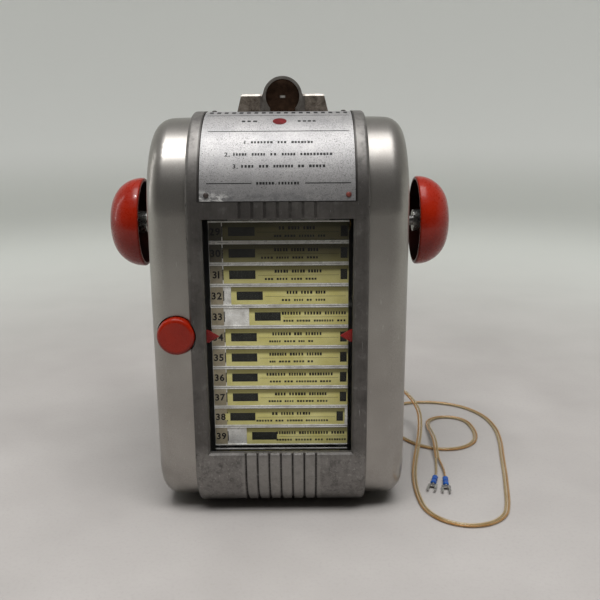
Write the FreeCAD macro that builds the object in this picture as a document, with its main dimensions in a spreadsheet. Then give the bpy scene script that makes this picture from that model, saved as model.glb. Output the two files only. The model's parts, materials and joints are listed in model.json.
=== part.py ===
import FreeCAD
import Part
import math
import os
import re
from types import SimpleNamespace

Vector = FreeCAD.Vector
Rotation = FreeCAD.Rotation
Placement = FreeCAD.Placement

# Frame: X to the right, Y to the rear, Z up, millimetres.
# The origin is on the surface that the box stands on, under the middle of its width and depth.

SIZES = {
    # case
    "body_width": 156,
    "body_depth": 127,
    "crest": 252,
    "wall": 3,
    "side_round": 12,
    "top_round": 60,
    "bottom_round": 35,
    "back_thick": 3,
    "back_inset": 1,
    "boss_radius": 6.5,
    "boss_inset": 9.5,
    "boss_length": 12,
    "seat_gap": 0.05,
    # bezel band
    "bezel_width": 107,
    "bezel_thick": 4,
    "bezel_tail": 6,
    "bezel_foot": 72,
    "bezel_edge": 2.5,
    "window_width": 88,
    "window_drop": 60.6,
    "window_sill": 5,
    "window_bevel": 1.2,
    "glass_thick": 2.9,
    "glass_lap": 2.5,
    "opening_play": 0.5,
    "groove_count": 7,
    "groove_pitch": 7.3,
    "groove_wide": 1.8,
    "groove_deep": 1.2,
    "plate_width": 90,
    "plate_thick": 0.75,
    "plate_gap": 0.5,
    "plate_angle": 9.3,
    "pin_angle": 12.7,
    "pin_radius": 1,
    "pin_head_radius": 1.6,
    "pin_head": 0.7,
    "pin_side": 4,
    # screws
    "screw_radius": 1.5,
    "screw_head_radius": 2.75,
    "screw_head": 2,
    "screw_play": 0.2,
    "thread_play": 0.05,
    "bezel_screw_edge": 3.2,
    "bezel_screw_rise": 1,
    "bezel_screw_foot": 10,
    # play button
    "button_radius": 11.5,
    "button_left": 62,
    "button_rise": 71,
    "button_proud": 1,
    "button_thick": 6.5,
    "button_gap": 0.75,
    "button_travel": 4,
    "button_round": 2.5,
    "stem_radius": 4,
    "stem_length": 19,
    "guide_depth": 13,
    "guide_thick": 2,
    "guide_wide": 15.5,
    "guide_half": 19,
    "spring_radius": 6.2,
    "spring_wire": 0.5,
    "spring_turns": 4.5,
    # title belt
    "axis_back": 59.5,
    "axis_drop": 70,
    "link_pitch": 13.2,
    "wheel_links": 20,
    "loop_links": 10,
    "slat_length": 84.6,
    "slat_offset": 1.45,
    "slat_thick": 0.5,
    "lip_rise": 0.5,
    "lip_wide": 0.8,
    "slat_split": 0.4,
    "end_trim": 1.6,
    "rod_radius": 0.6,
    "knuckle_half": 1.1,
    "knuckle_play": 0.06,
    "knuckle_middle": 61,
    "ear_wide": 4,
    "strip_length": 76.2,
    "strip_thick": 0.2,
    "tab_length": 8,
    "tab_thick": 0.35,
    # wheels and shafts
    "shaft_radius": 3.175,
    "run_play": 0.05,
    "press_play": 0.02,
    "wheel_thick": 3,
    "wheel_side": 33.5,
    "wheel_rim": 0.2,
    "pocket_deep": 1.5,
    "pocket_play": 0.18,
    "wheel_hub_radius": 8,
    "wheel_hub_length": 10,
    "bush_radius": 6,
    "bush_length": 4,
    "frame_side": 46,
    "frame_thick": 2,
    "frame_below": 36,
    "frame_above": 40,
    "frame_front": 13.5,
    "tie_radius": 3,
    "tie_shoulder": 4,
    "tie_side": 19,
    "tie_drop": 50,
    "flange_rise": 20,
    "flange_above": 18,
    "flange_wide": 14,
    "frame_screw_side": 9,
    "frame_screw_rise": 35,
    "frame_screw_above": 3,
    "pointer_drop": 64,
    "pointer_tip": 7,
    "ear_reach": 6,
    "ear_half": 9,
    # knobs
    "knob_radius": 28.5,
    "knob_gap": 9.5,
    "knob_depth": 20.8,
    "knob_wall": 2.5,
    "knob_round": 19,
    "rim_round": 1.2,
    "hub_radius": 7,
    # gear train and contacts
    "gear_module": 1.25,
    "pinion_teeth": 20,
    "gear_teeth": 40,
    "gear_width": 5,
    "gear_side": 52,
    "gear_backlash": 0.3,
    "stub_radius": 3,
    "board_radius": 30,
    "board_thick": 2,
    "stud_circle": 26,
    # coin path
    "cup_radius": 10.8,
    "cup_wall": 1.8,
    "cup_rise": 9,
    "cup_back": 67.5,
    "cup_deep": 3.9,
    "dish_round": 60,
    "dish_deep": 0.9,
    "entry_thick": 17,
    "leg_flare": 2.2,
    "entry_side": 2.3,
    "entry_step": 2,
    "wing_chamfer": 1.2,
    "wing_rise": 10.5,
    "wing_base": 60.4,
    "wing_top": 53,
    "entry_screw_side": 20,
    "chute_half": 3,
    "chute_wall": 1,
    "chute_width": 26,
    "chute_back": 11.8,
    "chute_foot": 8,
    "lever_drop": 27,
    "lever_reach": 6.5,
    "tray_width": 80,
    "tray_depth": 15,
    "tray_height": 50,
    # wall fixing and cord
    "mount_side": 62,
    "mount_low": 26,
    "mount_rise": 200,
    "mount_radius": 3.25,
    "cable_side": 50,
    "cable_height": 52,
    "grommet_radius": 7,
    "grommet_lip": 2,
    "grommet_flange": 1.6,
    "block_rise": 30,
    "block_tall": 50,
    "block_deep": 14.5,
    "block_pitch": 15,
    "cord_radius": 2.1,
    "lead_radius": 1.05,
    "sleeve_radius": 2.1,
    "sleeve_length": 10,
}

# Places worked out from the sizes. Each formula may use the names above it.
PLACES = {
    "bezel_face": "button_proud - body_depth / 2",
    "shell_face": "bezel_face + bezel_thick",
    "shell_inner": "shell_face + wall",
    "back_plane": "body_depth / 2",
    "shell_rear": "back_plane - back_thick",
    "shell_top": "crest - bezel_thick",
    "shell_low": "bezel_thick",
    "roof": "shell_top - wall",
    "floor_top": "shell_low + wall",
    "arc_back": "bezel_face + top_round",
    "arc_height": "crest - top_round",
    "axis_y": "bezel_face + axis_back",
    "top_axis": "crest - axis_drop",
    "low_axis": "top_axis - loop_links * link_pitch",
    "window_high": "crest - window_drop",
    "window_low": "low_axis - window_sill",
    "button_height": "low_axis + button_rise",
    "slot_half": "window_width / 2 + glass_lap + opening_play",
    "bezel_screw_side": "bezel_width / 2 - bezel_screw_edge",
    "bezel_screw_high": "top_axis + bezel_screw_rise",
    "bezel_screw_low": "low_axis + bezel_screw_foot",
    "foot_screw_back": "bezel_face + bezel_foot + 20",
    "frame_outer": "frame_side + frame_thick",
    "frame_face": "bezel_face + frame_front",
    "flange_low": "low_axis + flange_rise",
    "flange_high": "top_axis + flange_above",
    "frame_screw_low": "low_axis + frame_screw_rise",
    "frame_screw_high": "top_axis + frame_screw_above",
    "tie_level": "top_axis - tie_drop",
    "tie_low": "low_axis + tie_drop + 1",
    "pointer_level": "top_axis - pointer_drop",
    "gear_drop": "gear_module * (pinion_teeth + gear_teeth) / 2",
    "gear_axis": "top_axis - gear_drop",
    "cup_height": "crest + cup_rise",
    "wing_high": "crest + wing_rise",
    "coin_line": "bezel_face + cup_back + cup_deep - 1.15",
    "knob_rim": "body_width / 2 + knob_gap",
    "button_back": "bezel_face - button_proud + button_thick",
    "guide_face": "button_back + guide_depth",
    "tray_front": "shell_rear - 2.5 - tray_depth",
    "chute_line": "shell_rear - chute_back",
    "lever_height": "top_axis - lever_drop",
    "block_low": "low_axis + block_rise",
}

doc = FreeCAD.newDocument("wall_box_selector")
sheet = doc.addObject("Spreadsheet::Sheet", "sizes")
for row, (name, number) in enumerate(SIZES.items(), start=1):
    sheet.set(f"A{row}", name)
    sheet.set(f"B{row}", str(number))
    sheet.setAlias(f"B{row}", name)
doc.recompute()

places = doc.addObject("App::VarSet", "places")


def formula(text):
    """Point each name in a formula at the object that holds it."""

    def owner(match):
        word = match.group(0)
        if word in SIZES:
            return "sizes." + word
        if word in PLACES:
            return "places." + word
        return word

    return re.sub(r"[a-z][a-z0-9_]*", owner, str(text))


for name, text in PLACES.items():
    places.addProperty("App::PropertyFloat", name)
    places.setExpression(name, formula(text))
doc.recompute()

d = SimpleNamespace()
for name in SIZES:
    setattr(d, name, float(sheet.get(name)))
for name in PLACES:
    setattr(d, name, float(getattr(places, name)))


def bind(thing, prop, text):
    thing.setExpression(prop, formula(text))


def number_text(value):
    return value if isinstance(value, str) else repr(float(value))


def move(thing, x, y, z):
    bind(thing, "Placement.Base.x", number_text(x))
    bind(thing, "Placement.Base.y", number_text(y))
    bind(thing, "Placement.Base.z", number_text(z))


def box(name, x0, x1, y0, y1, z0, z1):
    """A block between two corners, each side a formula or a number."""
    thing = doc.addObject("Part::Box", name)
    x0, x1, y0, y1, z0, z1 = map(number_text, (x0, x1, y0, y1, z0, z1))
    bind(thing, "Length", f"({x1}) - ({x0})")
    bind(thing, "Width", f"({y1}) - ({y0})")
    bind(thing, "Height", f"({z1}) - ({z0})")
    move(thing, x0, y0, z0)
    return thing


def rod(name, axis, radius, low, high, a, b):
    """A cylinder along an axis; a and b are its other two coordinates, in X, Y, Z order."""
    thing = doc.addObject("Part::Cylinder", name)
    low, high = number_text(low), number_text(high)
    bind(thing, "Radius", number_text(radius))
    bind(thing, "Height", f"({high}) - ({low})")
    turns = {
        "x": Rotation(Vector(0, 1, 0), 90),
        "y": Rotation(Vector(1, 0, 0), -90),
        "z": Rotation(),
    }
    thing.Placement = Placement(Vector(), turns[axis])
    spots = {"x": (low, a, b), "y": (a, low, b), "z": (a, b, low)}
    move(thing, *spots[axis])
    return thing


def fuse(name, parts):
    thing = doc.addObject("Part::MultiFuse", name)
    thing.Shapes = parts
    thing.Refine = True
    return thing


def group(name, parts):
    """Separate solids of one sub-part."""
    thing = doc.addObject("Part::Compound", name)
    thing.Links = parts
    return thing


def cut(name, base, tools):
    tool = tools[0]
    if len(tools) > 1:
        tool = group(name + "_tools", tools)
    thing = doc.addObject("Part::Cut", name)
    thing.Base = base
    thing.Tool = tool
    return thing


def mirrored(name, source):
    thing = doc.addObject("Part::Mirroring", name)
    thing.Source = source
    thing.Normal = Vector(1, 0, 0)
    return thing


def pair(name, source):
    """A piece and its mirror image across the middle of the box."""
    return group(name, [source, mirrored(name + "_other", source)])


def feature(name, shape):
    thing = doc.addObject("Part::Feature", name)
    thing.Shape = shape
    return thing


def tube(name, axis, outer, inner, low, high, a, b):
    outside = rod(name + "_outside", axis, outer, low, high, a, b)
    bore = rod(name + "_bore", axis, inner, f"({number_text(low)}) - 1", f"({number_text(high)}) + 1", a, b)
    return cut(name, outside, [bore])


def outline(points):
    """Lines and arcs of a closed outline. A point is (u, v), or (u, v, radius) for a rounded corner."""
    ends = []
    for i, point in enumerate(points):
        here = Vector(point[0], point[1], 0)
        radius = point[2] if len(point) > 2 else 0
        before = points[i - 1]
        after = points[(i + 1) % len(points)]
        a = (Vector(before[0], before[1], 0) - here).normalize()
        b = (Vector(after[0], after[1], 0) - here).normalize()
        if radius > 0:
            half = a.getAngle(b) / 2
            middle_way = (a + b).normalize()
            centre = here + middle_way * (radius / math.sin(half))
            reach = radius / math.tan(half)
            ends.append((here + a * reach, centre - middle_way * radius, here + b * reach))
        else:
            ends.append((here, None, here))
    edges = []
    for i, (start, middle, end) in enumerate(ends):
        if middle is not None:
            edges.append(Part.Arc(start, middle, end))
        following = ends[(i + 1) % len(ends)][0]
        if (following - end).Length > 1e-6:
            edges.append(Part.LineSegment(end, following))
    return edges


def ribbon(points, half):
    """The outline of a strip of even width along a bent line of (u, v, bend radius) points."""
    sides = ([], [])
    for i, (u, v, bend) in enumerate(points):
        here = Vector(u, v, 0)
        ways = []
        if i > 0:
            ways.append((here - Vector(points[i - 1][0], points[i - 1][1], 0)).normalize())
        if i < len(points) - 1:
            ways.append((Vector(points[i + 1][0], points[i + 1][1], 0) - here).normalize())
        mean = (ways[0] + ways[-1]).normalize()
        normal = Vector(-mean.y, mean.x, 0)
        spread = half / max(mean.dot(ways[0]), 0.2)
        turn = ways[0].cross(ways[-1]).z
        for side, sign in zip(sides, (1, -1)):
            spot = here + normal * (spread * sign)
            radius = max(bend - half * sign * math.copysign(1, turn), 0.5) if bend else 0
            side.append((spot.x, spot.y, radius))
    return outline(sides[0] + sides[1][::-1])


def around(centre_y, centre_z, radius, degrees):
    """A point of an arc in the YZ plane; the angle starts at the front and rises."""
    angle = math.radians(degrees)
    return Vector(centre_y - radius * math.cos(angle), centre_z + radius * math.sin(angle), 0)


TURNS = {
    "yz": Rotation(Vector(0, 1, 0), Vector(0, 0, 1), Vector(1, 0, 0), "ZXY"),
    "xz": Rotation(Vector(1, 0, 0), Vector(0, 0, 1), Vector(0, -1, 0), "ZXY"),
    "xy": Rotation(),
}


def prism(name, plane, edges, low, high):
    """A sketched outline pushed from low to high along the axis that its plane leaves out."""
    low, high = number_text(low), number_text(high)
    sketch = doc.addObject("Sketcher::SketchObject", name + "_outline")
    sketch.addGeometry(edges, False)
    sketch.Placement = Placement(Vector(), TURNS[plane])
    spot = {
        "yz": ("Placement.Base.x", low),
        "xz": ("Placement.Base.y", high),
        "xy": ("Placement.Base.z", low),
    }
    bind(sketch, *spot[plane])
    thing = doc.addObject("Part::Extrusion", name)
    thing.Base = sketch
    thing.DirMode = "Normal"
    thing.Solid = True
    bind(thing, "LengthFwd", f"({high}) - ({low})")
    return thing


def start_body(name):
    return doc.addObject("PartDesign::Body", name)


def origin_part(body, role):
    return next(item for item in body.Origin.OriginFeatures if item.Role == role)


def body_sketch(body, name, plane, edges, offset="0"):
    sketch = body.newObject("Sketcher::SketchObject", name)
    sketch.AttachmentSupport = [(origin_part(body, plane), "")]
    sketch.MapMode = "FlatFace"
    bind(sketch, "AttachmentOffset.Base.z", number_text(offset))
    sketch.addGeometry(edges, False)
    return sketch


def body_step(body, kind, name, sketch, length):
    """A pad or pocket that reaches half its length to each side of its sketch."""
    step = body.newObject("PartDesign::" + kind, name)
    step.Profile = sketch
    step.SideType = "Symmetric"
    bind(step, "Length", length)
    doc.recompute()
    return step


def body_dress(body, kind, name, base, chosen, size):
    """A fillet or chamfer on the edges of the last step that a test chooses."""
    edges = [f"Edge{i}" for i, edge in enumerate(base.Shape.Edges, start=1) if chosen(edge)]
    step = body.newObject("PartDesign::" + kind, name)
    step.Base = (base, edges)
    bind(step, "Radius" if kind == "Fillet" else "Size", size)
    doc.recompute()
    return step


def middle_of(edge):
    low, high = edge.ParameterRange
    return edge.valueAt((low + high) / 2)


def near(a, b):
    return abs(a - b) < 0.01


# ---------------------------------------------------------------- housing shell


def case_profile(inset, rear):
    """The side view of the case, inset from its outer skin and open towards the rear."""
    return outline(
        [
            (rear, d.shell_low + inset),
            (d.shell_face + inset, d.shell_low + inset, d.bottom_round - d.bezel_thick - inset),
            (d.shell_face + inset, d.shell_top - inset, d.top_round - d.bezel_thick - inset),
            (rear, d.shell_top - inset),
        ]
    )


def side_edge(half_width, rear):
    """The edges along one side view of a block, all but the upright ones at its rear."""

    def test(edge):
        spot = middle_of(edge)
        return near(abs(spot.x), half_width) and spot.y < rear - 0.01

    return test


def rounded_case(name, inset, rear, width, round_size):
    """A block with the side view of the case and rounded sides."""
    body = start_body(name)
    side_view = body_sketch(body, name + "_side", "YZ_Plane", case_profile(inset, rear))
    pad = body_step(body, "Pad", name + "_pad", side_view, width)
    edges = side_edge(d.body_width / 2 - inset, rear)
    body_dress(body, "Fillet", name + "_round", pad, edges, round_size)
    return body


def make_housing_shell():
    skin = rounded_case("shell_skin", 0, d.shell_rear, "body_width", "side_round")
    core = rounded_case("shell_core", d.wall, d.shell_rear + 1, "body_width - 2 * wall", "side_round - wall")
    hollow = cut("shell_hollow", skin, [core])
    bosses = []
    holes = []
    for side in ("", "-"):
        for level, height in (("low", "shell_low + boss_inset"), ("high", "shell_top - boss_inset")):
            x = f"{side}(body_width / 2 - boss_inset)"
            bosses.append(
                rod(f"boss_{level}", "y", "boss_radius", "shell_rear - boss_length", "shell_rear", x, height)
            )
            holes.append(
                rod(f"boss_hole_{level}", "y", "screw_radius + screw_play", "shell_rear - boss_length + 1",
                    "shell_rear + 1", x, height)
            )
        x = f"{side}bezel_screw_side"
        for height in ("bezel_screw_high", "bezel_screw_low"):
            holes.append(rod("wall_hole", "y", "screw_radius + screw_play", "shell_face - 1",
                             "shell_inner + 1",
                             x, height))
        holes.append(rod("foot_hole", "z", "screw_radius + screw_play", "shell_low - 1", "floor_top + 1",
                         x, "foot_screw_back"))
        holes.append(rod("entry_hole", "z", "screw_radius + screw_play", "roof - 1", "shell_top + 1",
                         f"entry_side + ({side}entry_screw_side)", "coin_line + 7"))
    holes.append(rod("knob_shaft_hole", "x", "bush_radius + run_play", "-body_width / 2 - 1",
                     "body_width / 2 + 1",
                     "axis_y", "top_axis"))
    holes.append(rod("button_hole", "y", "button_radius + button_gap", "shell_face - 1",
                     "button_back + button_travel + 1", "-button_left", "button_height"))
    holes.append(box("front_opening", "-slot_half", "slot_half", "shell_face - 1", "axis_y + 15",
                     "-1", "window_high + glass_lap + 1.1"))
    holes.append(box("coin_slot", "entry_side - cup_radius - 0.8", "entry_side + cup_radius + 0.8",
                     "coin_line - 1.55", "coin_line + 1.55", "roof - 1", "shell_top + 1"))
    casting = fuse("shell_with_bosses", [hollow] + bosses)
    return cut("housing_shell", casting, holes)


# ---------------------------------------------------------------- front bezel


def band_profile():
    """The side view of the bezel band: under the case, up its front and over its top."""
    thick = d.bezel_thick - d.seat_gap
    foot = d.bezel_face + d.bezel_foot + 35
    tail = d.arc_back + d.bezel_tail
    return outline(
        [
            (foot, 0),
            (d.bezel_face, 0, d.bottom_round),
            (d.bezel_face, d.crest, d.top_round),
            (tail, d.crest),
            (tail, d.crest - thick),
            (d.bezel_face + thick, d.crest - thick, d.top_round - thick),
            (d.bezel_face + thick, thick, d.bottom_round - thick),
            (foot, thick),
        ]
    )


def arc_strip(inner, outer, start_angle, tail):
    """A strip along the top round, from an angle to the crest and then flat to a tail."""
    middle_angle = (start_angle + 90) / 2
    spot = {}
    for level, radius in (("in", inner), ("out", outer)):
        for angle in (start_angle, middle_angle, 90):
            spot[level, angle] = around(d.arc_back, d.arc_height, radius, angle)
    inside_end = Vector(tail, d.arc_height + inner, 0)
    outside_end = Vector(tail, d.arc_height + outer, 0)
    return [
        Part.Arc(spot["in", start_angle], spot["in", middle_angle], spot["in", 90]),
        Part.LineSegment(spot["in", 90], inside_end),
        Part.LineSegment(inside_end, outside_end),
        Part.LineSegment(outside_end, spot["out", 90]),
        Part.Arc(spot["out", 90], spot["out", middle_angle], spot["out", start_angle]),
        Part.LineSegment(spot["out", start_angle], spot["in", start_angle]),
    ]


def upper_groove_profile():
    floor_radius = d.top_round - d.groove_deep
    start = math.degrees(math.asin((d.window_high - 1 - d.arc_height) / floor_radius))
    ends = [around(d.arc_back, d.arc_height, r, a) for r in (floor_radius, d.top_round + 2)
            for a in (start, d.plate_angle)]
    middles = [around(d.arc_back, d.arc_height, r, (start + d.plate_angle) / 2)
               for r in (floor_radius, d.top_round + 2)]
    return [
        Part.Arc(ends[0], middles[0], ends[1]),
        Part.LineSegment(ends[1], ends[3]),
        Part.Arc(ends[3], middles[1], ends[2]),
        Part.LineSegment(ends[2], ends[0]),
    ]


def lower_groove_profile():
    deep = d.groove_deep
    return outline(
        [
            (d.bezel_face - 2, d.window_low + 2),
            (d.bezel_face + deep, d.window_low + 2),
            (d.bezel_face + deep, deep, d.bottom_round - deep),
            (d.axis_y - 10, deep),
            (d.axis_y - 10, -2),
            (d.bezel_face - 2, -2, d.bottom_round + 2),
        ]
    )


def outer_band_edge(edge):
    spot = middle_of(edge)
    if not near(abs(spot.x), d.bezel_width / 2):
        return False
    if edge.Curve.TypeId == "Part::GeomCircle":
        return near(edge.Curve.Radius, d.top_round) or near(edge.Curve.Radius, d.bottom_round)
    if near(spot.y, d.bezel_face):
        return True
    return (near(spot.z, 0) or near(spot.z, d.crest)) and edge.Length > 2 * d.bezel_edge


def window_edge(edge):
    """The sill and the two sides of the window; its top runs out into the round."""
    spot = middle_of(edge)
    inside = abs(spot.x) < d.window_width / 2 + 0.01
    return inside and near(spot.y, d.bezel_face) and d.window_low - 0.01 < spot.z < d.window_high - 1


def grooves(body, name, profile):
    """One groove cut at the left of the row and repeated across the band."""
    sketch = body_sketch(body, name + "_profile", "YZ_Plane", profile,
                         "-groove_pitch * (groove_count - 1) / 2")
    pocket = body_step(body, "Pocket", name, sketch, "groove_wide")
    row = body.newObject("PartDesign::LinearPattern", name + "_row")
    row.Originals = [pocket]
    row.Direction = (origin_part(body, "X_Axis"), [""])
    bind(row, "Length", "groove_pitch * (groove_count - 1)")
    bind(row, "Occurrences", "groove_count")
    body.Tip = row
    doc.recompute()
    assert row.Shape.Volume < pocket.Shape.Volume
    return row


def make_front_bezel():
    body = start_body("bezel_casting")
    pad = body_step(body, "Pad", "band_pad", body_sketch(body, "band_side", "YZ_Plane", band_profile()),
                    "bezel_width")
    body_dress(body, "Fillet", "band_edge", pad, outer_band_edge, "bezel_edge")
    half = d.window_width / 2
    low, high = d.window_low, d.window_high
    window = outline([(-half, low), (half, low), (half, high), (-half, high)])
    pane = body_step(body, "Pocket", "window_cut",
                     body_sketch(body, "window_outline", "XZ_Plane", window, "-bezel_face"),
                     "4 * bezel_thick")
    body_dress(body, "Chamfer", "window_sill", pane, window_edge, "window_bevel")
    recess = arc_strip(d.top_round - d.groove_deep, d.top_round + 2, d.plate_angle - 0.5,
                       d.arc_back + d.bezel_tail + 1)
    body_step(body, "Pocket", "plate_recess", body_sketch(body, "recess_profile", "YZ_Plane", recess),
              "plate_width + 2 * plate_gap")
    grooves(body, "upper_groove", upper_groove_profile())
    grooves(body, "lower_groove", lower_groove_profile())
    ledge = box("glass_ledge", "-window_width / 2 + 4", "window_width / 2 - 4", "shell_face - 0.5",
                "shell_face + glass_thick", "window_low - glass_lap - 2.2", "window_low - glass_lap - 0.1")
    tools = [rod("button_notch", "y", "button_radius + button_gap", "bezel_face - 1", "shell_face + 1",
                 "-button_left", "button_height")]
    for side in ("", "-"):
        for height in ("bezel_screw_high", "bezel_screw_low"):
            tools.append(rod("bezel_thread", "y", "screw_radius + thread_play", "bezel_face + 1.2",
                             "shell_face + 1", f"{side}bezel_screw_side", height))
        tools.append(rod("foot_thread", "z", "screw_radius + thread_play", "1.2", "shell_low + 1",
                         f"{side}bezel_screw_side", "foot_screw_back"))
    for x, spot, way in plate_pin_places():
        tools.append(feature("pin_hole", pin_cylinder(d.pin_radius + d.thread_play, x, spot, way, -3, 2)))
    return cut("front_bezel", fuse("bezel_with_ledge", [body, ledge]), tools)


def plate_pin_places():
    """Where the drive pins stand: two low on the round, two on the flat behind the crest."""
    side = d.plate_width / 2 - d.pin_side
    low = around(d.arc_back, d.arc_height, d.top_round - d.groove_deep, d.pin_angle)
    low_way = around(0, 0, 1, d.pin_angle)
    high = Vector(d.arc_back + d.bezel_tail / 2, d.crest - d.groove_deep, 0)
    for x in (-side, side):
        yield x, Vector(x, low.x, low.y), Vector(0, low_way.x, low_way.y)
        yield x, Vector(x, high.x, high.y), Vector(0, 0, 1)


def pin_cylinder(radius, x, spot, way, low, high):
    return Part.makeCylinder(radius, high - low, spot + way * low, way)


def make_instruction_plate():
    inner = d.top_round - d.groove_deep + d.seat_gap
    strip = arc_strip(inner, inner + d.plate_thick, d.plate_angle, d.arc_back + d.bezel_tail - d.plate_gap)
    sheet_metal = prism("plate_sheet", "yz", strip, "-plate_width / 2", "plate_width / 2")
    holes = [feature("plate_hole", pin_cylinder(d.pin_radius + d.thread_play, x, spot, way, -1, 2))
             for x, spot, way in plate_pin_places()]
    return cut("instruction_plate", sheet_metal, holes)


def make_plate_pins():
    seat = d.seat_gap + d.plate_thick + 0.02
    pins = []
    for x, spot, way in plate_pin_places():
        shank = pin_cylinder(d.pin_radius, x, spot, way, -2.6, seat)
        head = Part.makeCone(d.pin_head_radius, d.pin_radius, d.pin_head, spot + way * seat, way)
        pins.append(feature("plate_pin", shank.fuse(head)))
    return group("plate_pins", pins)


def make_window_glass():
    return box("window_glass", "-window_width / 2 - glass_lap", "window_width / 2 + glass_lap",
               "shell_face + seat_gap", "shell_face + glass_thick",
               "window_low - glass_lap", "window_high + glass_lap")


def make_glass_clips():
    """Flat clips under the bezel screws, reaching over the edge of the glass."""
    clips = []
    for i, height in enumerate(("bezel_screw_high", "bezel_screw_low")):
        strip = box(f"clip_strip_{i}", "window_width / 2 + 0.3", "bezel_screw_side + 4",
                    "shell_inner + seat_gap", "shell_inner + seat_gap + 0.8", f"{height} - 4",
                    f"{height} + 4")
        hole = rod(f"clip_hole_{i}", "y", "screw_radius + screw_play", "shell_inner - 1", "shell_inner + 3",
                   "bezel_screw_side", height)
        clip = cut(f"clip_{i}", strip, [hole])
        clips += [clip, mirrored(f"clip_{i}_other", clip)]
    return group("glass_clips", clips)


def screw(name, axis, seat, tip, a, b, radius="screw_radius", head_radius="screw_head_radius",
          head="screw_head"):
    """A pan-head screw: its head sits at seat, and its shank runs to tip."""
    seat, tip = number_text(seat), number_text(tip)
    down = {"-": (tip, seat, seat, f"({seat}) + {head}"), "+": (seat, tip, f"({seat}) - {head}", seat)}
    shank_low, shank_high, head_low, head_high = down[axis[0]]
    shank = rod(name + "_shank", axis[1], radius, shank_low, shank_high, a, b)
    top = rod(name + "_head", axis[1], head_radius, head_low, head_high, a, b)
    return fuse(name, [shank, top])


def make_bezel_screws():
    screws = []
    for i, side in enumerate(("", "-")):
        for k, height in enumerate(("bezel_screw_high", "bezel_screw_low")):
            screws.append(screw(f"bezel_screw_{i}{k}", "-y", "shell_inner + seat_gap + 0.85",
                                "bezel_face + 1.4",
                                f"{side}bezel_screw_side", height))
        screws.append(screw(f"foot_screw_{i}", "-z", "floor_top + seat_gap", "1.4",
                            f"{side}bezel_screw_side", "foot_screw_back"))
    return group("bezel_screws", screws)


def make_pointers():
    """Two thin pointers that reach in from the side frames, just behind the glass."""
    level = d.pointer_level
    edge = d.window_width / 2
    tail = d.frame_outer + d.ear_reach
    shape = outline([
        (edge - d.pointer_tip, level), (edge - 0.5, level + 4), (edge + 2, level + 4),
        (edge + 2, level + 2.5),
        (tail, level + 2.5), (tail, level - 2.5), (edge + 2, level - 2.5),
        (edge + 2, level - 4), (edge - 0.5, level - 4),
    ])
    arrow = prism("pointer_right", "xz", shape, "frame_face - 2.85", "frame_face - 2.05")
    return pair("pointers", arrow)


# ---------------------------------------------------------------- coin entry and coin path


def make_coin_entry():
    """A casting with a round cup for the coin, two legs under it and a lower wing at each side."""
    front = "bezel_face + cup_back"
    wing_front = f"{front} + entry_step"
    base = d.shell_top + d.seat_gap
    middle = d.entry_side
    plain_wings = prism("entry_wings", "xz", outline([
        (middle - d.wing_base / 2, base), (middle + d.wing_base / 2, base),
        (middle + d.wing_top / 2, d.wing_high, 1.5), (middle - d.wing_top / 2, d.wing_high, 1.5),
    ]), wing_front, f"{front} + entry_thick")
    face = d.bezel_face + d.cup_back + d.entry_step
    chamfer = prism("wing_edge", "yz", outline([
        (face - 1, d.wing_high - d.wing_chamfer - 1), (face + d.wing_chamfer + 1, d.wing_high + 1),
        (face - 1, d.wing_high + 1),
    ]), "entry_side - wing_base / 2", "entry_side + wing_base / 2")
    wings = cut("entry_wings_cut", plain_wings, [chamfer])
    rim = d.cup_radius + d.cup_wall
    legs = prism("entry_legs", "xz", outline([
        (middle - rim - d.leg_flare, base), (middle + rim + d.leg_flare, base),
        (middle + rim + 0.4, d.wing_high - 0.5), (middle + rim - 1.2, d.cup_height + 4),
        (middle + 1.2 - rim, d.cup_height + 4), (middle - rim - 0.4, d.wing_high - 0.5),
    ]), front, f"{front} + entry_thick - 1")
    ring = rod("entry_ring", "y", "cup_radius + cup_wall", front, f"{front} + entry_thick - 1",
               "entry_side", "cup_height")
    solid = fuse("entry_casting", [wings, legs, ring])
    tools = [
        rod("entry_cup", "y", "cup_radius", f"{front} - 1", f"{front} + cup_deep", "entry_side",
            "cup_height"),
        box("entry_mouth", "entry_side - 8", "entry_side + 8", f"{front} - 1", f"{front} + cup_deep",
            "shell_top - 1", "cup_height"),
        box("entry_slot", "entry_side - cup_radius - 0.2", "entry_side + cup_radius + 0.2", f"{front} + 1.6",
            f"{front} + cup_deep", "shell_top - 1", "cup_height"),
    ]
    ball = doc.addObject("Part::Sphere", "dish_ball")
    bind(ball, "Radius", "dish_round")
    move(ball, "entry_side", f"{front} + cup_deep + dish_deep - dish_round", "cup_height")
    dish = doc.addObject("Part::Common", "entry_dish")
    dish.Base = ball
    dish.Tool = rod("dish_edge", "y", "cup_radius - 0.4", f"{front} + cup_deep - 0.1",
                    f"{front} + cup_deep + 2", "entry_side", "cup_height")
    tools.append(dish)
    for side in ("", "-"):
        tools.append(rod("entry_thread", "z", "screw_radius + thread_play", "shell_top - 1", "shell_top + 8",
                         f"entry_side + ({side}entry_screw_side)", "coin_line + 7"))
    return cut("coin_entry", solid, tools)


def make_coin_entry_screws():
    return group("coin_entry_screws", [
        screw(f"entry_screw_{i}", "+z", "roof - seat_gap", "shell_top + 7",
              f"entry_side + ({side}entry_screw_side)", "coin_line + 7")
        for i, side in enumerate(("", "-"))
    ])


CHUTE_LINE = [
    (d.coin_line, d.roof - 0.1, 0),
    (d.coin_line, d.roof - 6, 8),
    (d.chute_line, d.roof - 35, 20),
    (d.chute_line, d.floor_top + d.tray_height + 9, 0),
]


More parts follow.
